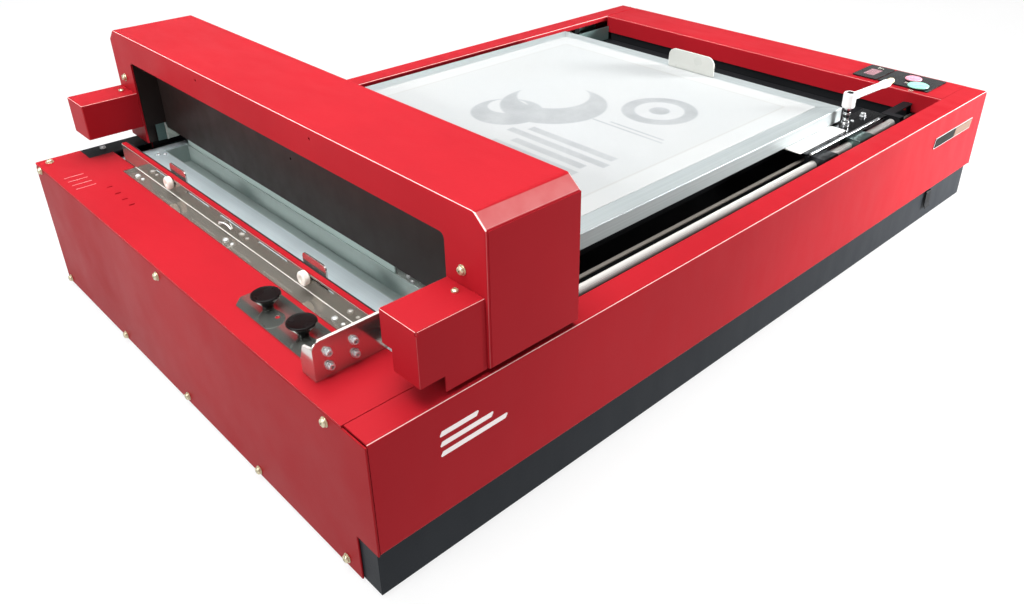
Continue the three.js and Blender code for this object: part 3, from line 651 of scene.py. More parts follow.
CARRIED = (                                # finish and edge width of the CAD nodes that keep their shape
    # the left end panel takes the darker red, which is painted shade
    ("plinth", 0.6, "plinth"), ("shaded_red", 0.8, "left_end_panel"), ("red", 0.8, "right_end_panel"),
    ("rubber", 0, "foot_front_left foot_front_right foot_rear_left foot_rear_right"),
    ("black_paint", 0, "deck"), ("alloy", 0.5, "power_supply"), ("board", 0, "control_board"),
    ("red", 0.7, "gantry_side_front gantry_side_rear"), ("alloy", 0.8, "gantry_beam"),
    ("dark_steel", 0.6, "carriage_front"), ("bearing", 0.6, "carriage_rear"),
    ("dark_steel", 0.8, "head_carrier"), ("galvanised", 0.3, "feed_sheet"),
    ("trough", 0.3, "parking_trough"), ("wall", 0.3, "trough_back_wall"),
    ("dark_steel", 0.4, "rod_mount_left drive_motor"), ("black_paint", 0.4, "rod_mount_right"),
    ("alloy", 0.4, "thermal_head drive_pulley idler_pulley"), ("belt", 0, "drive_belt"),
    ("inlet", 0.5, "power_inlet"), ("inlet", 0.3, "power_rocker"),
)


def dress(node, material, bevel):
    """Give a carried-over CAD node its finish, welded and with its edges broken."""
    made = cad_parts[node]
    made.data.materials.clear()
    made.data.materials.append(MATERIALS[material])
    weld = made.modifiers.new("weld", "WELD")
    weld.merge_threshold = 0.00001
    flatten = made.modifiers.new("flatten", "DECIMATE")
    flatten.decimate_type = "DISSOLVE"
    flatten.angle_limit = math.radians(1)
    if bevel:
        soft_modifier(made, bevel, 2)


def wire(name, points, radius, material):
    """A short bent wire with rounded bends."""
    curve = bpy.data.curves.new(name, "CURVE")
    curve.dimensions = "3D"
    curve.bevel_depth = radius * MM
    curve.bevel_resolution = 3
    curve.use_fill_caps = True
    spline = curve.splines.new("BEZIER")
    spline.bezier_points.add(len(points) - 1)
    for knot, point in zip(spline.bezier_points, points):
        knot.co = Vector(point) * MM
        knot.handle_left_type = knot.handle_right_type = "AUTO"
    holder = add_object(name + "_path", curve)
    graph = bpy.context.evaluated_depsgraph_get()
    mesh = bpy.data.meshes.new_from_object(holder.evaluated_get(graph))
    bpy.data.objects.remove(holder)
    done(add_object(name, mesh), material)


# ---- screws

def screw_meshes():
    """Master meshes: cross pan head with washer, socket cap head with washer, small cross head."""
    def cross(reach, half, low, high):
        long, short = (-reach, reach), (-half, half)
        return block("arm", long, short, (low, high)), block("arm", short, long, (low, high))

    pan = lathe("pan", [(0, 0), (4.7, 0), (4.8, 0.15), (4.8, 0.75), (4.6, 0.95), (3.9, 0.95), (3.95, 1.2),
                        (3.9, 2.4), (3.5, 3.2), (2.6, 3.75), (1.3, 4.0), (0, 4.05)], segments=40)
    cap = lathe("cap", [(0, 0), (4.6, 0), (4.7, 0.2), (4.7, 0.8), (4.4, 1.0), (3.4, 1.0), (3.45, 1.3),
                        (3.45, 4.6), (3.1, 5.0), (0, 5.0)], segments=40)
    small = lathe("small", [(0, 0), (2.8, 0), (2.9, 0.3), (2.7, 1.2), (1.9, 1.9), (0.9, 2.15), (0, 2.2)],
                  segments=32)
    socket = 1.75
    hexagon = [(socket * math.cos(math.pi * k / 3), socket * math.sin(math.pi * k / 3)) for k in range(6)]
    masters = {"pan": combine(pan, *cross(2.1, 0.45, 2.5, 5)),
               "cap": combine(cap, prism("hex", hexagon, (2.6, 6))),
               "small": combine(small, *cross(1.7, 0.3, 1.5, 3))}
    for made in masters.values():
        shade(made.data, 35)
    return masters


def screw(name, kind, at, spin, size=1.0, axis="Z", body="housing", material="steel_screw"):
    mesh = SCREWS[kind].data.copy()
    turn = TURNS[axis] @ Matrix.Rotation(math.radians(spin), 3, "Z") * size
    mesh.transform(Matrix.Translation(Vector(at) * MM) @ turn.to_4x4())
    mesh.materials.append(MATERIALS[material])
    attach(add_object(name, mesh), body)


# ---- housing

def make_front_cover():
    lo, hi = box("front_cover")
    path = [(lo.y + 16, lo.z), (lo.y, lo.z), (lo.y, hi.z), (hi.y, hi.z)]
    cover = prism("front_cover_sheet", folded(path, SHEET, FOLD, -1), (lo.x, hi.x), "X")
    done(cover, "red", "housing", "front_cover", slot="red_paint")


def make_rear_cover():
    """Folded cover with a lip, cut away where the parked gantry leg passes and for the inlet."""
    lo, hi = box("rear_cover")
    lip, leg_x = 8.5, -425
    path = [(hi.y - 16, lo.z), (hi.y, lo.z), (hi.y, hi.z), (lo.y, hi.z), (lo.y, hi.z - lip)]
    cover = prism("rear_cover_sheet", folded(path, SHEET, FOLD, 1), (lo.x, hi.x), "X")
    combine(cover,
            block("gap", (lo.x - 5, leg_x), (lo.y - 5, hi.y - 2), (hi.z - lip - 2, hi.z + 2)),
            block("gap", (lo.x - 5, leg_x), (hi.y - 4, hi.y + 4), (hi.z - 2.6, hi.z + 2)),
            block("hole", (423.5, 482.5), (hi.y - 6, hi.y + 6), (83.5, 114.5)))
    done(cover, "red", "housing", "rear_cover", slot="red_paint")


def screw_end_panels():
    rows = [(342.5, -5), (6, -11.7), (-305, -10.6), (350, -164), (168, -165), (-1, -161), (-155, -163.5),
            (-309, -160.5)]                # y, and height over the top face
    for tag, axis, x, lowest in (("left", "-X", LEFT_X, -165), ("right", "X", RIGHT_X, -108)):
        for i, (y, dz) in enumerate(rows):
            screw(f"{tag}_end_screw_{i + 1}", "pan", (x, y, TOP + max(dz, lowest)), 17 * i + 10,
                  axis=axis, material="zinc_screw")


def make_left_top_cover():
    lo, hi = box("left_top_cover")
    channel = box("stop_channel")[0]
    guide_x, guide_y, inner_x = -505, 327.5, -475
    edge, gap_y, end_y = channel.x - 0.6, channel.y - 0.3, 259.3
    outline = [(lo.x, lo.y), (inner_x, lo.y), (inner_x, gap_y), (edge, gap_y), (edge, end_y),
               (inner_x, end_y), (inner_x, guide_y), (guide_x, guide_y), (guide_x, hi.y), (lo.x, hi.y)]
    radii = [0.5, 0.5, 0.5, 0.5, 1.5, 1.5, 1, 1, 0.5, 3]
    cover = prism("left_top_sheet", fillet(outline, radii, steps=3), (TOP - SHEET, TOP))
    round_edges(cover, 1.9, top_edge(lo.x, TOP - 0.1))
    tools = [cylinder("bore", (ADJUSTER_X, y, TOP - 5), 3.8, 10) for y in ADJUSTER_YS]
    tools += [prism("slot", rounded((-523.5, -516.5), (y - 1.1, y + 1.1), 1.05), above(-5, 5))
              for y in (224, 200, 179, 159)]
    combine(cover, *tools)
    done(cover, "red", "housing", "left_top_cover", slot="red_paint", sharp=28)
    slab("left_top_flange", (lo.x + 2.4, lo.x + 4.2), (lo.y, hi.y - 4), above(-25, -2.1), 0.3, "red")
    for i, y in enumerate((285, 271.5, 258, 244.5)):
        line = rounded((-551, -528), (y - 0.42, y + 0.42), 0.38, 3)
        done(prism(f"vent_line_{i + 1}", line, above(-0.1, 0.18)), "vent")
    slab("slot_shade", (-526, -514), (154, 229), above(-6, -3), 0.4, "void")
    screw("corner_screw", "pan", (-546, 348.8, TOP), 35, material="zinc_screw")
    screw("guide_screw", "small", (-480, 349, TOP), 30, 1.3)


def make_right_top_cover():
    lo, hi = box("right_top_cover")
    path = [(lo.x, lo.z), (lo.x, hi.z), (hi.x, hi.z)]
    cover = prism("right_top_sheet", folded(path, SHEET, FOLD, -1), (lo.y, hi.y), "Y")
    round_edges(cover, 1.9, top_edge(hi.x, hi.z - 0.1))
    tools = [cylinder("bore", (*middle(node)[:2], TOP - 5), 4.5, 10) for node in BUTTONS]
    tools.append(block("window", (lo.x - 1, lo.x + 3), (-288.3, -280.7), (lo.z - 1, TOP - 16.5)))
    combine(cover, *tools)
    done(cover, "box_red", "housing", "right_top_cover", slot="red_paint")


def make_marks():
    """Plain stripes on the long side and a blank two-tone plate, both without lettering."""
    y = box("front_cover")[0].y
    left, pitch, half = -492, 10.5, 2.6
    for i, right in enumerate((-452, -436, -420)):
        z = TOP - 31 - pitch * i
        outline = fillet([(left, z - half), (right, z - half), (right + 3, z + half), (left + 3, z + half)],
                         1.2, steps=4)
        done(prism(f"side_stripe_{i + 1}", outline, (y - 0.15, y + 0.1), "Y"), "stripe")
    z0, z1 = TOP - 47, TOP - 31
    back = fillet([(398.5, z0), (519, z0), (523, z1), (402.5, z1)], 1.2, steps=4)
    done(soften(prism("plate_backing", back, (y - 1.2, y + 0.1), "Y"), 0.4), "chrome")
    z0, z1 = z0 + 1.6, z1 - 1.6
    for tone, low, high in (("green", (400.4, 461), (403.8, 465)), ("gold", (462.4, 517.4), (466.4, 520.8))):
        half_plate = fillet([(low[0], z0), (low[1], z0), (high[1], z1), (high[0], z1)], 0.8, steps=3)
        done(soften(prism(f"plate_{tone}_half", half_plate, (y - 1.7, y - 1.0), "Y"), 0.25),
             f"plate_{tone}")


def make_base():
    """Hook on the plinth, the small guards and linings of the well, and a black sheet over the belt's right
    end as painted shade.
    """
    y = box("plinth")[0].y
    hook = folded([(y, 50), (y - 3.4, 50), (y - 3.4, 30), (y - 5.6, 24)], 1.4, 1.8, 1)
    done(soften(prism("cable_hook", hook, (424, 440), "X"), 0.3), "black_paint")
    inner, outer, over, below = 325.6, 361, TOP + 0.7, TOP - 8.4
    angle = [(outer, over), (inner, over), (inner, below), (inner + 0.8, below),
             (inner + 0.8, TOP + 0.02), (outer, TOP + 0.02)]
    done(soften(prism("rear_wear_strip", angle, (-424.4, -338), "X"), 0.2), "black_paint")
    # black sheet over the belt's right end: painted shade, darkening that part of the well where it lies in
    # shadow
    slab("belt_shade_sheet", (398.5, 469), (-292, -277.5), above(-16.4, -14.8), 0.3, "black_paint")
    slab("rear_well_lining", (-369, 474), (321.4, 321.95), above(-44, -18.5), 0.15, "lining")
    slab("rear_cavity_lining", (-369, 474), (356, 356.6), above(-44, -4), 0.15, "lining")


# ---- controls

BUTTONS = {"start_button": ("green", "start_key"), "stop_button": ("pink", "stop_key")}


def dash(name, xs, y):
    """A printed dash in the place of a label."""
    done(block(name, xs, (y, y + 1), above(1.95, 2.06)), "mark")


def make_button(node, material, body):
    (x0, x1), _, (low, top) = spans(node)
    x, y, _ = middle(node)
    r = (x1 - x0) / 2
    profile = fillet([(0, low), (4, low), (4, top - 2.4), (r - 0.6, top - 2.4), (r, top - 1.9),
                      (r, top - 0.8), (r - 1.2, top - 0.15), (r * 0.5, top), (0, top)],
                     [0, 0.3, 0.4, 0.2, 0.2, 0.4, 0.5, 2, 0], steps=4)
    done(lathe(f"{node}_cap", profile, (x, y, 0), "Z", 64), material, body, node)
    collar = fillet([(5, TOP + 1.9), (7, TOP + 1.9), (6.7, TOP + 2.3), (5, TOP + 2.3)], 0.1, steps=2)
    done(lathe(f"{node}_collar", collar + [(5, TOP + 1.95)], (x, y, 0)), "panel_black")
    for k in range(3):
        dash_y = y + 3 - 2.6 * k
        dash(f"{node}_mark_{k + 1}", (x - r - 9, x - r - 3.5), dash_y)


def make_controls():
    xs, ys, zs = spans("button_panel")
    panel = prism("button_panel_film", rounded(xs, ys, 1.5), zs)
    combine(panel, *(cylinder("bore", (*middle(node)[:2], zs[0] - 2), 4.5, 8) for node in BUTTONS))
    done(soften(panel, 0.35), "panel_black", "housing", "button_panel", slot="panel_black")
    for node, (material, body) in BUTTONS.items():
        make_button(node, material, body)
    xs, ys, zs = spans("display_bezel")
    bezel = prism("display_frame", rounded(xs, ys, 2), zs)
    combine(bezel, prism("hole", rounded((501, 533), (-209, -191), 1, 3), above(1.2, 5)))
    done(soften(bezel, 0.3), "panel_black", "housing", "display_bezel", slot="panel_black")
    glass = prism("display_glass", rounded((501.2, 532.8), (-208.8, -191.2), 0.9, 3), above(1.2, 1.75))
    done(soften(glass, 0.15), "window")
    for k in range(3):
        dash(f"display_mark_{k + 1}", (538, 546 - 2 * k), -198 - 4 * k)


# ---- gantry

CHAMFER_Y, CHAMFER_Z = 14.8, 12.7          # sloping shoulders of the hood


def hood_outline(inset, low):
    hi = HOOD[1]
    y, top = hi.y - inset, hi.z - inset
    shoulder = hi.z - CHAMFER_Z - inset * 0.4
    ridge = hi.y - CHAMFER_Y - inset * 0.4
    return [(-y, low), (y, low), (y, shoulder), (ridge, top), (-ridge, top), (-y, shoulder)]


def make_hood():
    lo, hi = HOOD
    hood = prism("gantry_cover", hood_outline(0, lo.z), (lo.x, hi.x), "X")
    round_edges(hood, 2.4, lambda a, b: min(a.z, b.z) > lo.z + 1
                or (abs(a.z - b.z) > 20 and abs(a.x - lo.x) < 0.1))
    half, top = 309.5, TOP + 113
    arch = fillet([(-half, lo.z - 5), (half, lo.z - 5), (half, top), (-half, top)], [0, 0, 6, 6], steps=5)
    side = (lo.x + 2, hi.x + 1), (lo.z - 1, hi.z - CHAMFER_Z)
    combine(hood, prism("inside", hood_outline(SHEET, lo.z - 5), (lo.x + 2, hi.x - 2), "X"),
            prism("arch", arch, (lo.x - 1, lo.x + 3), "X"), prism("arch", arch, (hi.x - 3, hi.x + 1), "X"),
            block("side", side[0], (lo.y - 1, lo.y + 2.3), side[1]),
            block("side", side[0], (hi.y - 2.3, hi.y + 1), side[1]),
            *(cylinder("hole", (lo.x - 2, y, TOP + 136), 1.5, 6, "X") for y in (120, -113)))
    done(hood, "hood_red", "gantry", "gantry_hood", slot="red_paint", sharp=25)
    for i, y in enumerate((-331, 336.6)):
        screw(f"gantry_face_screw_{i + 1}", "pan", (lo.x, y, TOP + 88), 25 + 40 * i, 1.0, "-X", "gantry",
              "zinc_screw")


def make_gantry():
    make_hood()
    lo = HOOD[0]
    xs, ys, zs = spans("gantry_inner_panel")
    hole = cylinder("hole", (xs[0] - 3, -16, TOP + 77), 1.4, 8, "X")
    sheet = combine(block("inner_panel", xs, ys, zs), hole)
    done(soften(sheet, 0.4), "acrylic_black", "gantry", "gantry_inner_panel", slot="panel_black")
    for end, ys, low in (("front", (-311.4, -310.2), TOP + 6.5), ("rear", (310.2, 311.4), TOP + 27)):
        slab(f"panel_return_{end}", (lo.x + 2.6, xs[1]), ys, (low, TOP + 140), 0.3, "acrylic_black", "gantry")
    slab("gantry_skirt", (lo.x + 3, lo.x + 95), (322, 323.6), above(0.8, 34), 0.3, "acrylic_black", "gantry")
    slab("gantry_guide_plate", (-418, -384), (319, 320.6), above(1, 28), 0.3, "lining", "gantry")
    slab("gantry_guide_fold", (-405, -382.4), (318.2, 318.9), above(1, 26), 0.2, "end_steel", "gantry")
    # return flange on the guide plate's fold; its pale colour is a painted highlight along that edge
    slab("gantry_guide_lip_highlight", (-406.6, -405.1), (316.5, 318.9), above(1, 26), 0.3, "rod", "gantry")


def make_leg_boxes():
    """Thin covers on the legs, open underneath and towards the hood."""
    for end, sign in (("front", -1), ("rear", 1)):
        lo, hi = box(f"leg_box_{end}")
        shell = block(f"leg_cover_{end}", *spans(f"leg_box_{end}"))
        round_edges(shell, 1.5, lambda a, b: not (abs(a.x - hi.x) < 0.1 and abs(b.x - hi.x) < 0.1)
                    and not (abs(a.z - lo.z) < 0.1 and abs(b.z - lo.z) < 0.1))
        tools = [block("inside", (lo.x + 1.5, hi.x + 1), (lo.y + 1.5, hi.y - 1.5), (lo.z - 1, hi.z - 1.5))]
        if end == "front":                 # stepped over the channel's end plate
            tools += [block("step", (lo.x - 1, -479), (y, hi.y + 1), (lo.z - 1, z))
                      for y, z in ((lo.y - 1, TOP + 20), (-324, TOP + 41))]
            tools.append(cylinder("relief", (lo.x, lo.y, hi.z - 4), 1.6, 8))
        combine(shell, *tools)
        done(shell, "red", "gantry", f"leg_box_{end}", slot="red_paint", sharp=28)
        screw(f"leg_cover_screw_{end}", "small", (-445.8, sign * 333, hi.z), 15, 1.1, "Z", "gantry",
              "zinc_screw")


# ---- stop channel

def make_channel():
    lo, hi = box("stop_channel")
    wall, thick = -473.9, 1.6
    path = [(lo.x, lo.z), (wall + thick, lo.z), (wall + thick, hi.z - thick), (hi.x, hi.z - thick)]
    channel = prism("channel_sheet", folded(path, thick, (3.2, 1.7), 1), (lo.y, hi.y), "Y")
    tools = [block("short", (lo.x - 1, wall - 0.2), (258.7, hi.y + 1), (lo.z - 1, TOP + 4))]
    first_slot, pitch, half = -161.3, 82, 29
    for i in range(5):
        mid = first_slot + pitch * i
        slot = rounded((mid - half, mid + half), above(15.5, 19), 1.7)
        tools.append(prism("slot", slot, (wall - 3, wall + 5), "X"))
    combine(channel, *tools)
    done(channel, "brushed", "housing", "stop_channel", slot="polished_steel")
    # the near-black strip along the lip's inner edge is painted shade in the gap beside the feed sheet
    for name, xs, low, material in (("channel_trim", (wall + 0.3, hi.x - 2.2), 0.8, "red"),
                                    ("channel_gap_shade", (hi.x - 2.1, hi.x - 0.5), 0.05, "void")):
        strip = prism(name, rounded(xs, (lo.y + 1, hi.y - 1), 0.4, 2), (hi.z - low, hi.z + 0.5))
        done(strip, material)
    floor = lo.z + thick
    for i, (x, y) in enumerate(((-482.3, -201), (-483, 6.2), (-483, 231))):
        screw(f"channel_base_screw_{i + 1}", "small", (x, y, floor), 40 * i, 1.1)
        screw(f"channel_base_pin_{i + 1}", "small", (x + 0.5, y - 13, floor), 10, 0.7)
    wire("channel_clip", [(-473, 30, TOP + 8), (-478, 26, TOP + 10), (-480, 20, TOP + 15),
                          (-476, 14, TOP + 13), (-474.5, 8, TOP + 9)], 0.8, "steel_screw")


def make_end_plate():
    """Folded end plate of the channel, with polished upper edges carrying pale strips as painted highlights,
    and four cap screws.
    """
    lo, hi = box("channel_end_plate")
    thick, back = 1.6, lo.y + 0.8
    outline = fillet([(lo.x, lo.z), (hi.x, lo.z), (hi.x, hi.z), (lo.x, hi.z)], [0, 0, 2, 8], steps=8)
    face = prism("end_plate", outline, (lo.y, lo.y + thick), "Y")
    cheek = [(back, lo.z), (-250, lo.z), (-250, lo.z + 14), (-256, hi.z - 8), (back, hi.z - 5)]
    combine(face, prism("cheek", cheek, (lo.x, lo.x + thick), "X"),
            block("ear", (-486, hi.x), (back, -254), above(22.4, 24)),
            block("rim", (lo.x + 7, hi.x), (back, lo.y + 3.2), (hi.z - 1.2, hi.z)), operation="UNION")
    done(soften(face, 0.7, 3), "end_steel", "housing", "channel_end_plate", slot="polished_steel")
    # pale strips on the top edge and the cheek's sloping edge: painted highlights along the polished edges
    slab("end_plate_edge_highlight", (lo.x + 7, hi.x - 0.4), (lo.y + 0.2, lo.y + 3.2), (hi.z - 0.4, hi.z + 0.4), 0.3,
         "rod")
    outline = [(lo.y + 2.5, hi.z - 5.3), (-256.8, hi.z - 8.0), (-256.8, hi.z - 7.2), (lo.y + 2.5, hi.z - 4.5)]
    edge = prism("end_plate_cheek_highlight", outline, (lo.x - 0.1, lo.x + 1.9), "X")
    done(soften(edge, 0.2), "rod")
    for i, (x, dz) in enumerate(((-531.4, 25), (-506, 24.2), (-530.7, 11), (-505.9, 10.9))):
        screw(f"end_plate_screw_{i + 1}", "cap", (x, lo.y, TOP + dz), 20 * i, 0.85, "-Y")
    screw("ear_screw", "small", (-478, -261, TOP + 24), 30, 1.2)
    clip = [(-262, TOP + 8), (-249, TOP + 8), (-254, TOP + 19), (-262, TOP + 19)]
    done(soften(prism("corner_clip", clip, (-490, -488.6), "X"), 0.2), "dark_steel")


def make_stops():
    """Stop tabs with their fluted thumb screws."""
    for end in ("front", "rear"):
        xs, ys, zs = spans(f"stop_tab_{end}")
        (knob_x, _), _, (knob_low, knob_high) = spans(f"thumb_knob_{end}")
        y, z = (ys[0] + ys[1]) / 2, (knob_low + knob_high) / 2
        tab = prism(f"stop_plate_{end}", rounded(ys, zs, [0.6, 0.6, 5, 5], 6), xs, "X")
        combine(tab, cylinder("bore", (xs[0] - 3, y, z), 1.8, 8, "X"))
        done(soften(tab, 0.6, 3), "end_steel", f"stop_{end}", f"stop_tab_{end}", slot="polished_steel")
        r, thick = (knob_high - knob_low) / 2, 6.5
        profile = fillet([(0, 2 - thick), (2.4, 2 - thick), (2.9, 0.1 - thick), (r - 1, -thick),
                          (r, 1 - thick), (r, -0.8), (r - 0.8, 0), (1.5, 0), (1.5, 12.6), (1.1, 13), (0, 13)],
                         [0, 0.4, 0.4, 0.6, 0.4, 0.4, 0.3, 0.2, 0, 0, 0], steps=3)
        knob = lathe(f"thumb_wheel_{end}", profile, (knob_x + thick, y, z), "X", 144, (36, 0.35, r - 0.5))
        done(knob, "thumb", f"stop_screw_{end}", f"thumb_knob_{end}")


def make_adjusters():
    lo, hi = box("adjuster_plate")
    outline = [(lo.x, lo.y), (-506, lo.y), (hi.x, lo.y + 9), (hi.x, -116), (-503, hi.y - 0.5), (-527, hi.y),
               (lo.x, hi.y - 10)]
    plate = prism("adjuster_sheet", fillet(outline, 1.2, steps=3), (lo.z, hi.z))
    rivet_x, rivet_y = -519.3, -164.6
    combine(plate, *(cylinder("bore", (ADJUSTER_X, y, lo.z - 3), 3.8, 8) for y in ADJUSTER_YS),
            cylinder("bore", (rivet_x, rivet_y, lo.z - 3), 2.4, 8))
    done(soften(plate, 0.35), "mirror", "housing", "adjuster_plate", slot="polished_steel")
    done(cylinder("plate_rivet", (rivet_x, rivet_y, lo.z - 0.1), 2.2, 0.9), "red")
    base = TOP + 1.8
    for i in (1, 2):
        node = f"adjuster_knob_{i}"
        x, y, _ = middle(node)
        profile = fillet([(0, box(node)[0].z), (3.4, box(node)[0].z), (3.4, base + 0.3), (5.2, base + 0.3),
                          (5.0, base + 2.5), (5.9, base + 4), (13.3, base + 12.6), (14, base + 13.4),
                          (14, base + 14.4), (13.2, base + 15.2), (11, base + 15), (0, base + 14.6)],
                         [0, 0.3, 0.2, 0.5, 1.2, 3, 1.5, 0.4, 0.5, 0.5, 1.2, 0], steps=6)
        done(lathe(f"adjuster_handle_{i}", profile, (x, y, 0), "Z", 96), "knob", f"adjuster_{i}", node,
             slot="knob_black")


# ---- trough, rods and belt

def make_trough():
    sheet = box("feed_sheet")[1].z
    for i, (x, y) in enumerate(((-424, 291), (-430, 297))):
        screw(f"feed_sheet_screw_{i + 1}", "small", (x, y, sheet), 25 * i, 0.8)
    lo, hi = box("trough_back_wall")
    face = -386.4
    slab("trough_bracket", (face, face + 1.6), (lo.y - 78, lo.y - 4), (lo.z + 6, hi.z + 12), 0.5, "end_steel")
    for i, (dy, dz) in enumerate(((-24, -1), (-30, -5), (-44, 3), (-52, -8))):
        screw(f"trough_bracket_screw_{i + 1}", "small", (face, lo.y + dy, hi.z + dz), 30 * i, 0.9, "-X")


def make_drive():
    for end in ("front", "rear"):
        (x0, x1), _, _ = spans(f"guide_rod_{end}")
        _, y, z = middle(f"guide_rod_{end}")
        profile = [(0, x0), (5, x0), (6, x0 + 1), (6, x1 - 1), (5, x1), (0, x1)]
        rod = lathe(f"rod_{end}", profile, (0, y, z), "X", 64)
        done(rod, "rod", "housing", f"guide_rod_{end}", slot="ground_steel")
        for side in ("left", "right"):
            if (end, side) != ("front", "right"):       # the clamp plate passes over that one
                mount = f"rod_mount_{side}"
                screw(f"rod_clamp_screw_{end}_{side}", "cap", (middle(mount)[0], y, box(mount)[1].z), 15, 0.8)


# ---- screen

def make_screen():
    xs, ys, zs = spans("screen_frame")
    bar = 34
    tube = block("frame_tube", xs, ys, zs)
    inner = (xs[0] + bar, xs[1] - bar), (ys[0] + bar, ys[1] - bar)
    combine(tube, block("hole", *inner, (zs[0] - 5, zs[1] + 5)))
    done(soften(tube, 1.1, 3), "screen_alloy", "screen", "screen_frame", slot="bright_aluminium")
    lo, hi = box("screen_mesh")
    cloth = prism("mesh_cloth", rounded((lo.x, hi.x), (lo.y, hi.y), 2.5), (lo.z - 0.2, lo.z + 0.1))
    done(cloth, "cloth", "screen", "screen_mesh", slot="mesh_cloth")
    xs, ys, (low, high) = spans("platen")
    foam = 8
    slab("platen_box", xs, ys, (low, high - foam - 0.1), 0.8, "black_paint", "housing", "platen")
    done(soften(block("platen_pad", xs, ys, (high - foam, high)), 1.2, 3), "base_board")
    xs, ys, zs = spans("grip_tab")
    tab = prism("grip", rounded(ys, zs, [2, 2, 13, 13], 10), xs, "X")
    done(soften(tab, 0.9, 3), "grip", "screen", "grip_tab")


# ---- clamp

def make_clamp():
    lo, hi = box("clamp_plate")
    x, y, _ = middle("lever_post")
    plate = prism("clamp_sheet", rounded((lo.x, hi.x), (lo.y, hi.y), 2), (lo.z, hi.z))
    combine(plate, cylinder("bore", (x, y, lo.z - 3), 4.4, 10))
    done(soften(plate, 0.4), "gunmetal", "clamp", "clamp_plate", slot="dark_steel")
    bar = rounded((lo.y - 2.2, lo.y + 1.4), (hi.z + 0.02, hi.z + 3.2), 1.3, 5)
    done(prism("clamp_edge_bar", bar, (lo.x + 1, hi.x - 26), "X"), "chrome", "clamp")
    screw("clamp_cap_screw", "cap", (342.7, -277, hi.z), 10, body="clamp")
    screw("clamp_small_screw", "small", (314.5, -276, hi.z), 40, 0.8, body="clamp")
    slab("jaw_block", *spans("clamp_jaw"), 0.4, "jaw", "clamp", "clamp_jaw")
    lo, hi = box("clamp_slider")
    _, rod_y, rod_z = middle("guide_rod_front")
    for tag, xs, material, replaced in (("left", (172, 205), "dark_steel", ["clamp_slider"]),
                                        ("right", (262, 300), "bearing", [])):
        bearing = prism(f"clamp_bearing_{tag}", rounded((lo.y, hi.y), (lo.z, hi.z), 2.5), xs, "X")
        combine(bearing, cylinder("bore", (xs[0] - 5, rod_y, rod_z), 6.4, 60, "X"))
        done(soften(bearing, 0.5), material, "clamp", *replaced)
    slab("clamp_bridge", (204.5, 262.5), (lo.y + 0.5, lo.y + 8), (lo.z + 0.5, lo.z + 6), 0.4,
         "dark_steel", "clamp")
    make_lever_post(x, y)


def make_lever_post(x, y):
    low, high = spans("lever_post")[2]
    profile = [(0, low), (4, low), (4, TOP - 4.7), (5.5, TOP - 4.7), (5.5, TOP + 3), (4.1, TOP + 3),
               (4.1, TOP + 13), (5, TOP + 13), (5, TOP + 16.5), (4.1, TOP + 16.5), (4.1, high), (0, high)]
    radii = [0, 0.3, 0.3, 0.5, 0.5, 0.3, 0.3, 0.5, 0.5, 0.3, 0.3, 0]
    done(lathe("lever_stem", fillet(profile, radii, steps=3), (x, y, 0)), "chrome", "clamp", "lever_post",
         slot="ground_steel")
    for tag, z0, z1 in (("low", 3.2, 4.4), ("middle", 9, 12.8), ("high", 16.8, 20)):
        section = rounded((4.2, 4.8), (TOP + z0, TOP + z1), 0.2, 3) + [(4.2, TOP + z0 + 0.1)]
        done(lathe(f"stem_ring_{tag}", section, (x, y, 0)), "panel_black", "clamp")


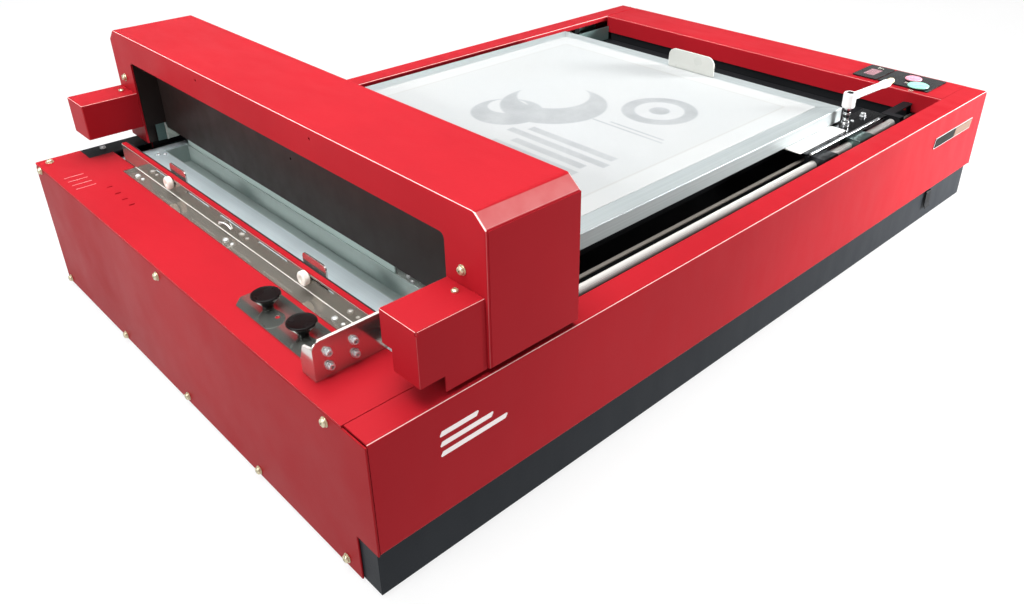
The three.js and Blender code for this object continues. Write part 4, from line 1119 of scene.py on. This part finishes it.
def make_lever():
    """Clamping lever: hub, rising arm with a thicker end, cream tip and socket bolt."""
    low = box("clamp_lever")[0].z
    x, y, _ = middle("lever_post")
    top, reach, swing, rise = TOP + 44, 92, math.radians(-8), 4
    arm_z = top - 7.2
    profile = [(0, low), (7.6, low), (8.6, low + 2), (8.6, top - 2), (7.7, top), (0, top)]
    hub = lathe("lever_handle", fillet(profile, [0, 0.6, 1.5, 1.2, 0.8, 0], steps=4), segments=64)
    combine(hub, cylinder("recess", (0, 0, top - 2.6), 5.6, 5))
    profile = [(0, 0), (5.6, 0), (4.9, 26), (4.8, reach - 24), (5.8, reach - 17), (5.8, reach - 8.4),
               (0, reach - 8.4)]
    arm = lathe("arm", fillet(profile, [0, 0, 20, 6, 3, 1.6, 0], steps=5), axis="X")
    lift = Matrix.Translation((0, 0, arm_z * MM)) @ Matrix.Rotation(-math.atan2(rise, reach), 4, "Y")
    arm.data.transform(lift @ Matrix.Diagonal((1, 1.15, 0.95, 1)))
    combine(hub, arm, operation="UNION")
    place = Matrix.Translation((x * MM, y * MM, 0)) @ Matrix.Rotation(swing, 4, "Z")
    hub.data.transform(place)
    done(hub, "lever", "lever", "clamp_lever")
    profile = fillet([(0, 0), (4.1, 0), (4.3, 9), (3.2, 13.6), (0, 14)], [0, 0, 2, 2, 0], steps=5)
    tip = lathe("lever_tip", profile, axis="X", segments=40)
    tip.data.transform(place @ lift @ Matrix.Translation(((reach - 10) * MM, 0, 1.2 * MM)))
    done(tip, "tip", "lever")
    cap = SCREWS["cap"].data.copy()
    seat = Matrix.Translation((x * MM, y * MM, (top - 4.4) * MM))
    cap.transform(seat @ Matrix.Diagonal((1.15, 1.15, 1.0, 1)))
    done(add_object("lever_bolt", cap), "panel_black", "lever", sharp=35)


# ---- rear inlet

def make_inlet():
    lo, hi = box("power_inlet")
    socket_x, z = 441, (lo.z + hi.z) / 2
    for i, (dx, dz) in enumerate(((-7, -3), (7, -3), (0, 4))):
        slab(f"inlet_pin_{i + 1}", (socket_x + dx - 1, socket_x + dx + 1), (lo.y + 5, hi.y - 8),
             (z + dz - 2.4, z + dz + 2.4), 0.3, "chrome")
    for i, x in enumerate((lo.x + 1.6, hi.x - 1.6)):
        screw(f"inlet_screw_{i + 1}", "small", (x, hi.y - 0.1, z), 30 * i, 0.45, "Y")


make_camera()
make_stage()
MATERIALS = make_materials()
SCREWS = screw_meshes()
for material, bevel, nodes in CARRIED:
    for node in nodes.split():
        dress(node, material, bevel)
for make in (make_base, make_front_cover, make_rear_cover, screw_end_panels, make_left_top_cover,
             make_right_top_cover, make_marks, make_controls, make_gantry, make_leg_boxes, make_channel,
             make_end_plate, make_stops, make_adjusters, make_trough, make_drive, make_screen, make_clamp,
             make_lever, make_inlet):
    make()
for master in SCREWS.values():
    bpy.data.objects.remove(master)
